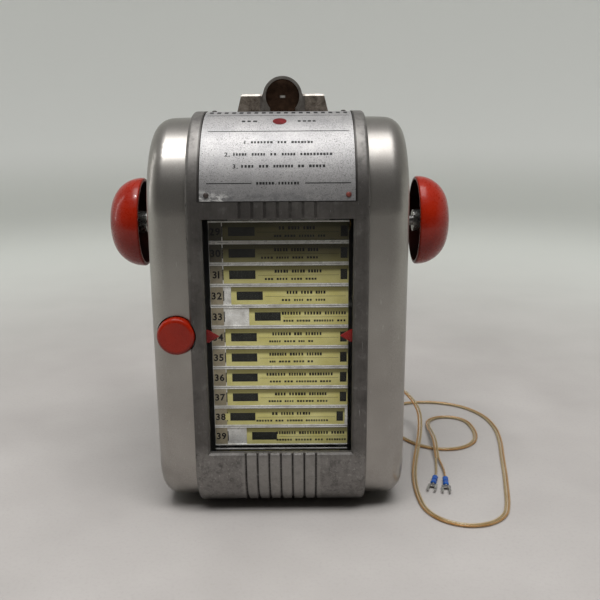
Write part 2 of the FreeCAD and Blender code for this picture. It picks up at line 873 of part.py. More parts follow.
def make_coin_chute():
    """A flat tube that turns the coin behind the belt and drops it into the tray."""
    walls = prism("chute_walls", "yz", ribbon(CHUTE_LINE, d.chute_half + d.chute_wall),
                  "entry_side - chute_width / 2", "entry_side + chute_width / 2")
    longer = [(CHUTE_LINE[0][0], CHUTE_LINE[0][1] + 2, 0)] + CHUTE_LINE[1:-1]
    longer.append((CHUTE_LINE[-1][0], CHUTE_LINE[-1][1] - 2, 0))
    way = prism("chute_way", "yz", ribbon(longer, d.chute_half), "entry_side - chute_width / 2 + chute_wall",
                "entry_side + chute_width / 2 - chute_wall")
    feet = [box(f"chute_foot_{i}", "entry_side - chute_foot", "entry_side + chute_foot",
                "chute_line + chute_half + chute_wall - 0.5", "shell_rear - seat_gap", level,
                f"{level} + chute_foot")
            for i, level in enumerate(("frame_screw_low + 11", "frame_screw_high + 1"))]
    hollow = cut("chute_tube", walls, [way])
    side = "entry_side + chute_width / 2"
    slot = box("lever_slot", f"{side} - chute_wall - 0.5", f"{side} + 0.5", "chute_line - 1.8",
               "chute_line + 1.8", "lever_height - 8", "lever_height + 3")
    return cut("coin_chute", fuse("chute_with_feet", [hollow] + feet), [slot])


def make_coin_switch():
    side = "entry_side + chute_width / 2"
    low = "chute_line - 4.2"
    high = "chute_line + 4.2"
    case = box("switch_case", f"{side} + 0.1", f"{side} + 11.1", low, high, "lever_height + 5",
               "lever_height + 27")
    cheeks = [box(f"switch_cheek_{i}", f"{side} + 3.5", f"{side} + 9.5", y, f"{y} + 1.1", "lever_height - 3",
                  "lever_height + 6") for i, y in enumerate((low, "chute_line + 3.1"))]
    pin = rod("switch_pin", "y", "1", low, high, f"{side} + lever_reach", "lever_height")
    return fuse("coin_switch", [case, pin] + cheeks)


def make_coin_lever():
    side = "entry_side + chute_width / 2 + lever_reach"
    hub = rod("lever_hub", "y", "2.2", "chute_line - 2.9", "chute_line + 2.9", side, "lever_height")
    arm = box("lever_arm", "entry_side + 3", f"{side} - 1", "chute_line - 0.8", "chute_line + 0.8",
              "lever_height - 0.7", "lever_height + 0.7")
    bore = rod("lever_bore", "y", "1 + run_play", "chute_line - 4", "chute_line + 4", side, "lever_height")
    return cut("coin_lever", fuse("lever_blank", [hub, arm]), [bore])


def make_coin_tray():
    outside = box("tray_outside", "-tray_width / 2", "tray_width / 2", "tray_front",
                  "tray_front + tray_depth",
                  "floor_top + seat_gap", "floor_top + tray_height")
    inside = box("tray_inside", "-tray_width / 2 + 1", "tray_width / 2 - 1", "tray_front + 1",
                 "tray_front + tray_depth - 1", "floor_top + 1", "floor_top + tray_height + 1")
    return cut("coin_tray", outside, [inside])


# ---------------------------------------------------------------- back plate and frames


def make_back_plate():
    half = d.body_width / 2 - d.back_inset
    low = d.shell_low + d.back_inset
    high = d.shell_top - d.back_inset
    corner = d.side_round - d.back_inset
    plate = prism("back_sheet", "xz", outline([
        (-half, low, corner), (half, low, corner), (half, high, corner), (-half, high, corner),
    ]), "shell_rear + seat_gap", "back_plane")
    tools = [
        rod("cable_hole", "y", "grommet_radius + seat_gap", "shell_rear - 1", "back_plane + 1",
            "cable_side", "cable_height"),
        rod("cable_sink", "y", "grommet_radius + grommet_lip + seat_gap",
            "back_plane - grommet_flange - seat_gap",
            "back_plane + 1", "cable_side", "cable_height"),
    ]
    for side in ("", "-"):
        for height in ("mount_low", "mount_low + mount_rise"):
            tools.append(rod("mount_hole", "y", "mount_radius", "shell_rear - 1", "back_plane + 1",
                             f"{side}mount_side", height))
        for height in ("shell_low + boss_inset", "shell_top - boss_inset"):
            x = f"{side}(body_width / 2 - boss_inset)"
            tools.append(rod("back_hole", "y", "screw_radius + screw_play", "shell_rear - 1", "back_plane", x,
                             height))
            tools.append(rod("back_sink", "y", "screw_head_radius + screw_play", "back_plane - 2.1",
                             "back_plane + 1", x, height))
        for height in FRAME_SCREW_HEIGHTS:
            tools.append(rod("frame_thread", "y", "screw_radius + thread_play", "shell_rear - 1",
                             "back_plane - 0.8",
                             f"{side}(frame_outer + frame_screw_side)", height))
    return cut("back_plate", plate, tools)


FRAME_SCREW_HEIGHTS = ("frame_screw_low", "frame_screw_high")


def make_back_plate_screws():
    screws = []
    for i, side in enumerate(("", "-")):
        for k, height in enumerate(("shell_low + boss_inset", "shell_top - boss_inset")):
            screws.append(screw(f"back_screw_{i}{k}", "-y", "back_plane - 2.05",
                                "shell_rear - boss_length + 2",
                                f"{side}(body_width / 2 - boss_inset)", height, head="1.95"))
    return group("back_plate_screws", screws)


def make_frame(name, side):
    """A sheet side frame with a flange on the back plate and an ear for the pointer."""
    rear = d.shell_rear - d.seat_gap
    low, high = d.low_axis - d.frame_below, d.top_axis + d.frame_above
    edges = outline([
        (rear - 12, low, 6), (d.frame_face, low, 24), (d.frame_face, high, 30), (rear, high, 8),
        (rear, d.flange_low), (rear - 12, d.flange_low),
    ])
    sheet_metal = prism(name + "_sheet", "yz", edges, "frame_side", "frame_outer")
    flange = box(name + "_flange", "frame_side", "frame_outer + flange_wide", rear - d.frame_thick, rear,
                 "flange_low", "flange_high")
    ear = box(name + "_ear", "frame_side", "frame_outer + ear_reach", "frame_face - 2", "frame_face",
              "pointer_level - ear_half", "pointer_level + ear_half")
    blank = fuse(name + "_blank", [sheet_metal, flange, ear])
    tools = [
        rod(f"{name}_{axis}", "x", "bush_radius + seat_gap", "frame_side - 1", "frame_outer + 1", "axis_y",
            axis)
        for axis in ("top_axis", "low_axis")
    ]
    for y, z in TIE_PLACES:
        tools.append(rod(name + "_tie_hole", "x", "tie_radius + seat_gap", "frame_side - 1",
                         "frame_outer + 1", y, z))
    for height in FRAME_SCREW_HEIGHTS:
        tools.append(rod(name + "_screw_hole", "y", "screw_radius + screw_play", rear - 4, rear + 1,
                         "frame_outer + frame_screw_side", height))
    if side == "right":
        tools.append(rod(name + "_stub_hole", "x", "stub_radius + press_play", "frame_side - 1",
                         "frame_outer + 1",
                         "axis_y", "gear_axis"))
        return cut(name, blank, tools)
    return mirrored(name, cut(name + "_right_hand", blank, tools))


TIE_PLACES = (("axis_y - tie_side", "tie_level"), ("axis_y + tie_side", "tie_level"), ("axis_y", "tie_low"))


def make_tie_rods():
    ties = []
    for i, (y, z) in enumerate(TIE_PLACES):
        thin = rod(f"tie_end_{i}", "x", "tie_radius", "-frame_outer + seat_gap", "frame_outer - seat_gap", y,
                   z)
        thick = rod(f"tie_middle_{i}", "x", "tie_shoulder", "-frame_side + seat_gap", "frame_side - seat_gap",
                    y, z)
        ties.append(fuse(f"tie_rod_{i}", [thin, thick]))
    return group("tie_rods", ties)


def make_frame_screws():
    screws = []
    for i, side in enumerate(("", "-")):
        for k, height in enumerate(FRAME_SCREW_HEIGHTS):
            screws.append(screw(f"frame_screw_{i}{k}", "+y", "shell_rear - frame_thick - 2 * seat_gap",
                                "back_plane - 1", f"{side}(frame_outer + frame_screw_side)", height))
    return group("frame_screws", screws)


def make_shaft_bushes():
    """Bushes in the side frames for both shafts, and flanged ones in the case for the knob shaft."""
    bushes = []
    for axis in ("top_axis", "low_axis"):
        bushes.append(tube(f"frame_bush_{axis}", "x", "bush_radius", "shaft_radius + run_play",
                           "frame_side - 1", "frame_side - 1 + bush_length", "axis_y", axis))
    barrel = rod("case_bush_barrel", "x", "bush_radius", "body_width / 2 - wall - 1", "body_width / 2 + 1.5",
                 "axis_y", "top_axis")
    collar = rod("case_bush_collar", "x", "bush_radius + 2", "body_width / 2 + seat_gap",
                 "body_width / 2 + 1.5",
                 "axis_y", "top_axis")
    bore = rod("case_bush_bore", "x", "shaft_radius + run_play", "body_width / 2 - 10", "body_width / 2 + 10",
               "axis_y", "top_axis")
    bushes.append(cut("case_bush", fuse("case_bush_blank", [barrel, collar]), [bore]))
    both = []
    for bush in bushes:
        both += [bush, mirrored(bush.Name + "_other", bush)]
    return group("shaft_bushes", both)


# ---------------------------------------------------------------- title belt


PITCH_ANGLE = 360 / d.wheel_links
APOTHEM = d.link_pitch / 2 / math.tan(math.radians(PITCH_ANGLE / 2))
VERTEX_RADIUS = d.link_pitch / 2 / math.sin(math.radians(PITCH_ANGLE / 2))


def block(x0, x1, s0, s1, n0, n1):
    """A block in a link's own frame: X along the slat, s up the belt and n out of it."""
    return Part.makeBox(x1 - x0, n1 - n0, s1 - s0, Vector(x0, -n1, s0))


def knuckle(x0, x1, where):
    """A folded eye round a hinge rod, eight-sided outside and square inside."""
    half = d.knuckle_half
    hole = d.rod_radius + d.knuckle_play
    reach = half / math.cos(math.pi / 8)
    corners = []
    for i in range(8):
        angle = math.radians(22.5 + 45 * i)
        corners.append(Vector(x0, -reach * math.sin(angle), where + reach * math.cos(angle)))
    eye = Part.Face(Part.makePolygon(corners + corners[:1])).extrude(Vector(x1 - x0, 0, 0))
    eye = eye.cut(block(x0 - 1, x1 + 1, where - hole, where + hole, -hole, hole))
    side = math.copysign(1, where)
    inner, outer = sorted((where - side * half, where - side * (hole + 0.02)))
    return eye.fuse(block(x0, x1, inner, outer, 0, d.slat_offset))


def make_slat(low_eye, high_eye, low_trim=0, high_trim=0):
    """One title slat: a channel for the title strip, eyes above and below for the hinge rods."""
    half = d.link_pitch / 2 - d.slat_split / 2
    low, high = -half + low_trim, half - high_trim
    x = d.slat_length / 2
    base, top = d.slat_offset, d.slat_offset + d.slat_thick
    slat = block(-x, x, low, high, base, top)
    slat = slat.fuse([
        block(-x, x, low, low + d.lip_wide, top, top + d.lip_rise),
        block(-x, x, high - d.lip_wide, high, top, top + d.lip_rise),
    ])
    hinge = d.link_pitch / 2
    eyes = []
    if high_eye:
        eyes.append(knuckle(-d.knuckle_middle / 2, d.knuckle_middle / 2, hinge))
    if low_eye:
        outer = x - 1.3
        eyes.append(knuckle(outer - d.ear_wide, outer, -hinge))
        eyes.append(knuckle(-outer, d.ear_wide - outer, -hinge))
    if eyes:
        slat = slat.fuse(eyes)
    return slat.removeSplitter()


def link_places():
    """Every link of the loop as (section, turn in degrees, centre of its hinge line)."""
    on_wheel = int(d.wheel_links / 2) - 1
    straight = int(d.loop_links) + 1
    for i in range(straight):
        yield "front", 0, Vector(0, d.axis_y - APOTHEM, d.low_axis + i * d.link_pitch)
    for i in range(1, on_wheel + 1):
        yield "top", i * PITCH_ANGLE, wheel_point(d.top_axis, APOTHEM, i * PITCH_ANGLE)
    for i in range(straight):
        yield "rear", 180, Vector(0, d.axis_y + APOTHEM, d.top_axis - i * d.link_pitch)
    for i in range(1, on_wheel + 1):
        yield "bottom", 180 + i * PITCH_ANGLE, wheel_point(d.low_axis, APOTHEM, 180 + i * PITCH_ANGLE)


def wheel_point(axis_z, radius, degrees):
    angle = math.radians(degrees)
    return Vector(0, d.axis_y - radius * math.cos(angle), axis_z + radius * math.sin(angle))


def stand(shape, turn, centre):
    """Carry a link's own frame to its place on the loop."""
    copy = shape.copy()
    copy.Placement = Placement(centre, Rotation(Vector(1, 0, 0), -turn))
    return copy


STRIP_SLIPS = {32: 4.2, 33: 15.0, 39: 11.6}


def title_number(index):
    """The belt is numbered downwards from 29 at the upper axis; the loop starts at the lower axis."""
    return (39 - index) % 40 or 40


def make_strip(number, low_trim, high_trim):
    """The paper title strip of one slat, and its number tab."""
    left = -d.slat_length / 2
    half = d.link_pitch / 2 - d.slat_split / 2 - d.lip_wide - 0.15
    low, high = low_trim - half, half - high_trim
    base = d.slat_offset + d.slat_thick + 0.02
    start = left + d.tab_length + 0.6 + STRIP_SLIPS.get(number, 0)
    end = min(start + d.strip_length, d.slat_length / 2)
    return [
        block(start, end, low, high, base, base + d.strip_thick),
        block(left + 0.3, left + d.tab_length, low, high, base, base + d.tab_thick),
    ]


def make_belt():
    plain = make_slat(True, True)
    shapes = {
        "front": {"first": plain, "middle": plain, "last": plain},
        "rear": {"first": plain, "middle": plain, "last": plain},
        "top": {"first": make_slat(False, True, low_trim=d.end_trim), "middle": plain,
                "last": make_slat(True, False, high_trim=d.end_trim)},
    }
    shapes["bottom"] = shapes["top"]
    loop = list(link_places())
    slats, rods, strips = {}, {}, {}
    hinge_rod = Part.makeCylinder(d.rod_radius, d.slat_length - 0.4,
                                  Vector(-d.slat_length / 2 + 0.2, 0, d.link_pitch / 2), Vector(1, 0, 0))
    low_rod = Part.makeCylinder(d.rod_radius, d.slat_length - 0.4,
                                Vector(-d.slat_length / 2 + 0.2, 0, -d.link_pitch / 2), Vector(1, 0, 0))
    for index, (section, turn, centre) in enumerate(loop):
        before = loop[index - 1][0]
        after = loop[(index + 1) % len(loop)][0]
        kind = "first" if before != section else "last" if after != section else "middle"
        slats.setdefault(section, []).append(stand(shapes[section][kind], turn, centre))
        curved = section in ("top", "bottom")
        trims = [d.end_trim if curved and kind == end else 0 for end in ("first", "last")]
        for shape in make_strip(title_number(index), *trims):
            strips.setdefault(section, []).append(stand(shape, turn, centre))
        if kind != "last" or section in ("front", "rear"):
            rods.setdefault(section, []).append(stand(hinge_rod, turn, centre))
        if kind == "first" and section in ("front", "rear"):
            rods[section].append(stand(low_rod, turn, centre))
    made = []
    for section in ("front", "top", "rear", "bottom"):
        made.append(feature(f"{section}_slats", Part.makeCompound(slats[section])))
        made.append(feature(f"{section}_hinge_rods", Part.makeCompound(rods[section])))
        made.append(feature(f"{section}_title_strips", Part.makeCompound(strips[section])))
    return made


# ---------------------------------------------------------------- wheels, shafts and gears


def ring_of(points):
    """A face from (radius, degrees) points; the angle runs from the front and rises."""
    spots = [Vector(0, -r * math.cos(math.radians(a)), r * math.sin(math.radians(a))) for r, a in points]
    return Part.Face(Part.makePolygon(spots + spots[:1]))


def make_wheels(name, axis, axis_z):
    """Two belt wheels whose rim pockets take the hinge rods."""
    rim = VERTEX_RADIUS + d.wheel_rim
    deep = VERTEX_RADIUS - d.pocket_deep
    half_low = math.degrees((d.rod_radius + d.pocket_play) / deep)
    half_high = math.degrees((d.rod_radius + 2 * d.pocket_play) / rim)
    points = []
    for i in range(int(d.wheel_links)):
        middle = (i + 0.5) * PITCH_ANGLE
        points += [(rim, middle - half_high), (deep, middle - half_low), (deep, middle + half_low),
                   (rim, middle + half_high)]
    disc = ring_of(points).extrude(Vector(d.wheel_thick, 0, 0))
    disc.translate(Vector(d.wheel_side - d.wheel_thick / 2, d.axis_y, axis_z))
    disc_feature = feature(name + "_disc", disc)
    inner_side = "wheel_side - wheel_thick / 2"
    hub = rod(name + "_hub", "x", "wheel_hub_radius", f"{inner_side} - wheel_hub_length", "wheel_side",
              "axis_y", axis)
    bore = rod(name + "_wheel_bore", "x", "shaft_radius + press_play", f"{inner_side} - wheel_hub_length - 1",
               "wheel_side + 5", "axis_y", axis)
    return pair(name, cut(name + "_right", fuse(name + "_blank", [disc_feature, hub]), [bore]))


def tooth_ring(teeth, phase):
    """A spur gear outline with straight-flanked teeth; the phase is where one tooth stands."""
    pitch = d.gear_module * teeth / 2
    tip = pitch + 0.9 * d.gear_module
    root = pitch - 1.2 * d.gear_module
    thick = math.pi * d.gear_module / 2 - d.gear_backlash
    step = 360 / teeth
    points = []
    for i in range(int(teeth)):
        middle = phase + i * step
        for radius, share in ((root, 1.45), (tip, 0.5)):
            points.append((radius, middle - math.degrees(share * thick / 2 / radius)))
        for radius, share in ((tip, 0.5), (root, 1.45)):
            points.append((radius, middle + math.degrees(share * thick / 2 / radius)))
    return ring_of(points)


def make_drive_pinion():
    blank = tooth_ring(d.pinion_teeth, -90).extrude(Vector(d.gear_width, 0, 0))
    blank.translate(Vector(d.gear_side, d.axis_y, d.top_axis))
    bore = rod("pinion_bore", "x", "shaft_radius + press_play", "gear_side - 1", "gear_side + gear_width + 1",
               "axis_y", "top_axis")
    return cut("drive_pinion", feature("pinion_blank", blank), [bore])


def make_selector_gear():
    blank = tooth_ring(d.gear_teeth, 90 + 180 / d.gear_teeth).extrude(Vector(d.gear_width, 0, 0))
    blank.translate(Vector(d.gear_side, d.axis_y, d.gear_axis))
    bore = rod("gear_bore", "x", "stub_radius + run_play", "gear_side - 1", "gear_side + gear_width + 1",
               "axis_y", "gear_axis")
    return cut("selector_gear", feature("gear_blank", blank), [bore])


def make_gear_stub():
    pin = rod("stub_pin", "x", "stub_radius", "frame_side", "gear_side + gear_width + 1.2", "axis_y",
              "gear_axis")
    head = rod("stub_head", "x", "stub_radius + 1.5", "gear_side + gear_width + 0.2",
               "gear_side + gear_width + 1.2",
               "axis_y", "gear_axis")
    return fuse("gear_stub", [pin, head])


def make_contact_wiper():
    """A leaf fixed to the gear, with its tip over the studs."""
    ring = rod("wiper_ring", "x", "7", "gear_side - 0.65", "gear_side - 0.05", "axis_y", "gear_axis")
    arm = box("wiper_arm", "gear_side - 0.65", "gear_side - 0.05", "axis_y - 2.5", "axis_y + 2.5",
              "gear_axis - stud_circle - 1.5", "gear_axis")
    tip = box("wiper_tip", "gear_side - 0.9", "gear_side - 0.5", "axis_y - 0.8", "axis_y + 0.8",
              "gear_axis - stud_circle - 1", "gear_axis - stud_circle + 1")
    bore = rod("wiper_bore", "x", "stub_radius + run_play", "gear_side - 2", "gear_side + 1", "axis_y",
               "gear_axis")
    return cut("contact_wiper", fuse("wiper_blank", [ring, arm, tip]), [bore])


def make_contact_board():
    return tube("contact_board", "x", "board_radius", "5", "frame_outer + seat_gap",
                "frame_outer + seat_gap + board_thick", "axis_y", "gear_axis")


def make_contact_studs():
    face = d.frame_outer + d.board_thick + 2 * d.seat_gap
    rise = d.gear_side - 0.95 - face
    stud = Part.makeBox(rise, 1.6, 2.4, Vector(face, -0.8, -d.stud_circle - 1.2))
    studs = []
    for i in range(int(d.gear_teeth)):
        copy = stud.copy()
        turn = Rotation(Vector(1, 0, 0), i * 360 / d.gear_teeth)
        copy.Placement = Placement(Vector(0, d.axis_y, d.gear_axis), turn)
        studs.append(copy)
    return feature("contact_studs", Part.makeCompound(studs))


def make_selector_shaft():
    return rod("selector_shaft", "x", "shaft_radius", "-knob_rim - knob_depth + knob_wall + 1.5",
               "knob_rim + knob_depth - knob_wall - 1.5", "axis_y", "top_axis")


def make_lower_shaft():
    return rod("lower_shaft", "x", "shaft_radius", "-frame_outer - 3", "frame_outer + 3", "axis_y",
               "low_axis")


def make_knob(name, side):
    """A hollow domed knob, turned about its shaft; the rim faces the case."""
    body = start_body(name)
    r, deep, wall = d.knob_radius, d.knob_depth, d.knob_wall
    dome = outline([
        (0, r, d.rim_round), (deep, r, d.knob_round), (deep, 0), (deep - wall, 0),
        (deep - wall, r - wall, d.knob_round - wall), (0, r - wall),
    ])
    sketch = body_sketch(body, name + "_profile", "XY_Plane", dome)
    turned = body.newObject("PartDesign::Revolution", name + "_dome")
    turned.Profile = sketch
    turned.ReferenceAxis = (sketch, ["H_Axis"])
    turned.Angle = 360
    flip = 0 if side == "right" else 180
    body.Placement = Placement(Vector(), Rotation(Vector(0, 0, 1), flip))
    move(body, "knob_rim" if side == "right" else "-knob_rim", "axis_y", "top_axis")
    return body


def make_knob_hubs():
    end = "knob_rim + knob_depth - knob_wall - seat_gap"
    blank = rod("hub_blank", "x", "hub_radius", "knob_rim - 1", end, "axis_y", "top_axis")
    bore = rod("hub_bore", "x", "shaft_radius + press_play", "knob_rim - 2", f"{end} + 1", "axis_y",
               "top_axis")
    thread = rod("hub_thread", "z", "screw_radius + thread_play", "top_axis", "top_axis + hub_radius + 1",
                 "knob_rim + 3", "axis_y")
    return pair("knob_hubs", cut("hub_right", blank, [bore, thread]))


def make_knob_set_screws():
    one = rod("set_screw_right", "z", "screw_radius", "top_axis + shaft_radius + 0.05",
              "top_axis + hub_radius",
              "knob_rim + 3", "axis_y")
    return pair("knob_set_screws", one)


# ---------------------------------------------------------------- play button

SPRING_RUNS = 12


def make_play_button():
    body = start_body("play_button")
    r, thick = d.button_radius, d.button_thick
    disc = outline([(0, 0), (r, 0), (r, thick, d.button_round), (0, thick)])
    sketch = body_sketch(body, "button_profile", "XY_Plane", disc)
    turned = body.newObject("PartDesign::Revolution", "button_turned")
    turned.Profile = sketch
    turned.ReferenceAxis = (sketch, ["V_Axis"])
    turned.Angle = 360
    doc.recompute()
    body.Placement = Placement(Vector(), Rotation(Vector(0, 0, 1), 180))
    move(body, "-button_left", "button_back", "button_height")
    return body


def make_button_stem():
    stem = rod("stem_rod", "y", "stem_radius", "button_back + press_play", "button_back + stem_length",
               "-button_left", "button_height")
    clip = rod("stem_clip", "y", "stem_radius + 1.5", "guide_face + guide_thick + 0.1",
               "guide_face + guide_thick + 1.1", "-button_left", "button_height")
    return fuse("button_stem", [stem, clip])


def make_button_spring():
    """A compression spring of short straight runs, with a six-sided wire."""
    start = d.button_back + d.spring_wire + 0.1
    length = d.guide_depth - 2 * d.spring_wire - 0.2
    runs = int(d.spring_turns * SPRING_RUNS)
    rings = []
    for i in range(runs + 1):
        angle = 2 * math.pi * i / SPRING_RUNS
        out = Vector(math.cos(angle), 0, math.sin(angle))
        centre = Vector(-d.button_left, start + length * i / runs, d.button_height) + out * d.spring_radius
        corners = []
        for k in range(6):
            turn = math.radians(60 * k + 30)
            corners.append(centre + (out * math.cos(turn) + Vector(0, math.sin(turn), 0)) * d.spring_wire)
        rings.append(corners)
    faces = [Part.Face(Part.makePolygon(ring + ring[:1])) for ring in (rings[0], rings[-1])]
    for near_ring, far_ring in zip(rings, rings[1:]):
        for k in range(6):
            a, b = near_ring[k], near_ring[(k + 1) % 6]
            e, f = far_ring[k], far_ring[(k + 1) % 6]
            faces.append(Part.Face(Part.makePolygon([a, b, f, a])))
            faces.append(Part.Face(Part.makePolygon([a, f, e, a])))
    coil = Part.makeSolid(Part.makeShell(faces))
    if coil.Volume < 0:
        coil.reverse()
    return feature("button_spring", coil)


def make_button_guide():
    """A bracket on the inside of the case wall that carries the stem."""
    left, right = "-button_left - guide_wide / 2", "-button_left + guide_wide / 2"
    wall_face = "shell_inner + seat_gap"
    flat = "side_round - body_width / 2 + 0.2"
    parts = [box("guide_plate", left, right, "guide_face", "guide_face + guide_thick",
                 "button_height - guide_half", "button_height + guide_half")]
    for i, way in enumerate((1, -1)):
        ends = sorted((way * (d.guide_half - d.guide_thick), way * d.guide_half))
        parts.append(box(f"guide_leg_{i}", flat, right, wall_face, "guide_face + guide_thick",
                         f"button_height + {ends[0]}", f"button_height + {ends[1]}"))
        ends = sorted((way * (d.guide_half - 1), way * (d.guide_half + 6)))
        parts.append(box(f"guide_foot_{i}", flat, right, wall_face, f"{wall_face} + 1.2",
                         f"button_height + {ends[0]}", f"button_height + {ends[1]}"))
    bore = rod("guide_bore", "y", "stem_radius + run_play", "guide_face - 1", "guide_face + guide_thick + 1",
               "-button_left", "button_height")
    return cut("button_guide", fuse("guide_blank", parts), [bore])


def make_button_switch():
    """A switch block behind the stem, on two legs from the guide."""
    left, right = "-button_left - guide_wide / 2 + 1", "-button_left + guide_wide / 2 - 1"
    start = "guide_face + guide_thick + seat_gap"
    face = "button_back + stem_length + button_travel + 0.5"
    parts = [box("switch_block", left, right, face, f"{face} + 11", "button_height - 10",
                 "button_height + 10")]
    for i, z in enumerate((-10, 8)):
        parts.append(box(f"switch_leg_{i}", left, right, start, f"{face} + 1", f"button_height + {z}",
                         f"button_height + {z + 2}"))
    return fuse("button_switch", parts)


# ---------------------------------------------------------------- wiring


def make_terminal_block():
    blank = box("block_blank", "frame_outer + flange_wide + 0.5", "body_width / 2 - wall - 1",
                "shell_rear - block_deep", "shell_rear - seat_gap", "block_low", "block_low + block_tall")
    holes = [rod("block_hole", "y", "screw_radius + thread_play", "shell_rear - block_deep - 1",
                 "shell_rear - 5",
                 "body_width / 2 - wall - 7", z) for z in BLOCK_SCREWS]
    return cut("terminal_block", blank, holes)


BLOCK_SCREWS = [f"block_low + block_tall / 2 + {i} * block_pitch" for i in (-1, 0, 1)]


def make_terminal_screws():
    return group("terminal_screws", [
        screw(f"block_screw_{i}", "+y", "shell_rear - block_deep - seat_gap", "shell_rear - 6",
              "body_width / 2 - wall - 7", z)
        for i, z in enumerate(BLOCK_SCREWS)
    ])


def make_cable_grommet():
    """A grommet with one flange inside the back plate and one sunk flush in its outer face."""
    lip = "grommet_radius + grommet_lip"
    place = ("cable_side", "cable_height")
    neck = rod("grommet_neck", "y", "grommet_radius", "shell_rear - 1", "back_plane", *place)
    inner = rod("grommet_inner", "y", lip, "shell_rear - 1.9", "shell_rear - seat_gap", *place)
    outer = rod("grommet_outer", "y", lip, "back_plane - grommet_flange", "back_plane", *place)
    bore = rod("grommet_bore", "y", "cord_radius + 0.1", "shell_rear - 3", "back_plane + 3", *place)
    return cut("cable_grommet", fuse("grommet_blank", [neck, inner, outer]), [bore])


CORD_ROUTE = [
    (50, 59, 52), (50, 73, 52), (55.5, 87, 48.5), (69, 96, 42), (86, 97, 34.5), (101, 89, 25.5),
    (108.5, 73, 18), (105.5, 50, 11.5), (101, 31, 8), (96, 12, 4.6), (92.3, -8, 2.6), (91, -25, 2.1),
    (91, -41, 2.1),
    (93, -56, 2.1), (101.5, -68.5, 2.1), (115.3, -75, 2.1), (130.6, -73, 2.1), (142.6, -63, 2.1),
    (148, -48, 2.1), (152.5, -28, 2.1), (157.5, -5, 2.1),
    (163, 24, 2.1), (168.5, 50, 2.1), (171, 76, 2.1), (167, 101, 2.1), (153, 121, 2.1), (131, 131, 2.1),
    (108, 130.5, 2.1), (88, 120, 2.1), (76, 103, 2.1), (76, 85, 2.1), (85, 69, 2.1), (94, 54, 2.1),
    (104, 41, 2.1), (119, 34, 2.1), (135, 36, 2.1), (147, 46, 2.1), (152, 61, 2.1), (152.2, 76.3, 2.1),
    (149.9, 89.2, 2.1), (140.3, 97.2, 2.1), (127.7, 97.2, 2.1), (118.2, 89.2, 2.4), (116, 76, 3.2),
    (115.9, 61, 5), (115.5, 46, 7), (114.3, 31, 6.9), (113, 16, 3.6),
]
LEAD_A_ROUTE = [(114.05, 15.7, 3.5), (115, 5, 2.3), (114.4, -7, 2.1), (112.6, -19, 2.1)]
LEAD_B_ROUTE = [(111.85, 15.7, 3.5), (110.4, 5, 2.3), (108.4, -6.5, 2.1), (105, -17, 2.1)]


def make_cord(name, route, radius):
    """A cord as straight runs joined by tangent arcs, each as large as its two runs allow."""
    points = [Vector(*p) for p in route]
    edges = []
    start = points[0]
    bends = []
    for before, here, after in zip(points, points[1:], points[2:]):
        a = (before - here).normalize()
        b = (after - here).normalize()
        half_turn = (math.pi - a.getAngle(b)) / 2
        reach = 0.45 * min((before - here).Length, (after - here).Length)
        bend = reach / math.tan(half_turn)
        bends.append(bend)
        first = here + a * reach
        last = here + b * reach
        centre = here + (a + b).normalize() * (bend / math.cos(half_turn))
        middle = centre + (here - centre).normalize() * bend
        edges.append(Part.LineSegment(start, first).toShape())
        edges.append(Part.Arc(first, middle, last).toShape())
        start = last
    edges.append(Part.LineSegment(start, points[-1]).toShape())
    path = Part.Wire(edges)
    ring = Part.Wire(Part.makeCircle(radius, points[0], points[1] - points[0]))
    cord = path.makePipeShell([ring], True, False)
    share = cord.Volume / (math.pi * radius * radius * path.Length)
    print(f"{name}: {path.Length:.1f} mm long, smallest bend {min(bends):.1f} mm, volume share {share:.4f}")
    print("bends:", " ".join(f"{bend:.0f}" for bend in bends))
    assert 0.99 < share < 1.01
    return feature(name, cord)


def terminal_frame(route):
    """Where a crimp stands: 5 mm back from the end of its lead, along the last run."""
    end = Vector(*route[-1])
    way = (end - Vector(*route[-2])).normalize()
    turn = Rotation(Vector(1, 0, 0), way)
    return Placement(end - way * 5, turn)


def make_terminals():
    sleeve = Part.makeCylinder(d.sleeve_radius, d.sleeve_length, Vector(), Vector(1, 0, 0))
    sleeve = sleeve.cut(Part.makeCylinder(d.lead_radius + 0.05, d.sleeve_length + 2, Vector(-1, 0, 0),
                                          Vector(1, 0, 0)))
    shank = Part.makeCylinder(d.lead_radius, 4.5, Vector(d.sleeve_length - 4, 0, 0), Vector(1, 0, 0))
    tongue = Part.makeBox(10, 6.4, 0.8, Vector(d.sleeve_length + 0.1, -3.2, -0.4))
    slot = Part.makeBox(7, 3.4, 2, Vector(d.sleeve_length + 4, -1.7, -1))
    fork = shank.fuse(tongue).cut(slot).removeSplitter()
    sleeves, forks = [], []
    for route in (LEAD_A_ROUTE, LEAD_B_ROUTE):
        for made, shape in ((sleeves, sleeve), (forks, fork)):
            copy = shape.copy()
            copy.Placement = terminal_frame(route)
            made.append(copy)
    return [
        feature("terminal_sleeves", Part.makeCompound(sleeves)),
        feature("terminal_forks", Part.makeCompound(forks)),
    ]


# ---------------------------------------------------------------- build and write

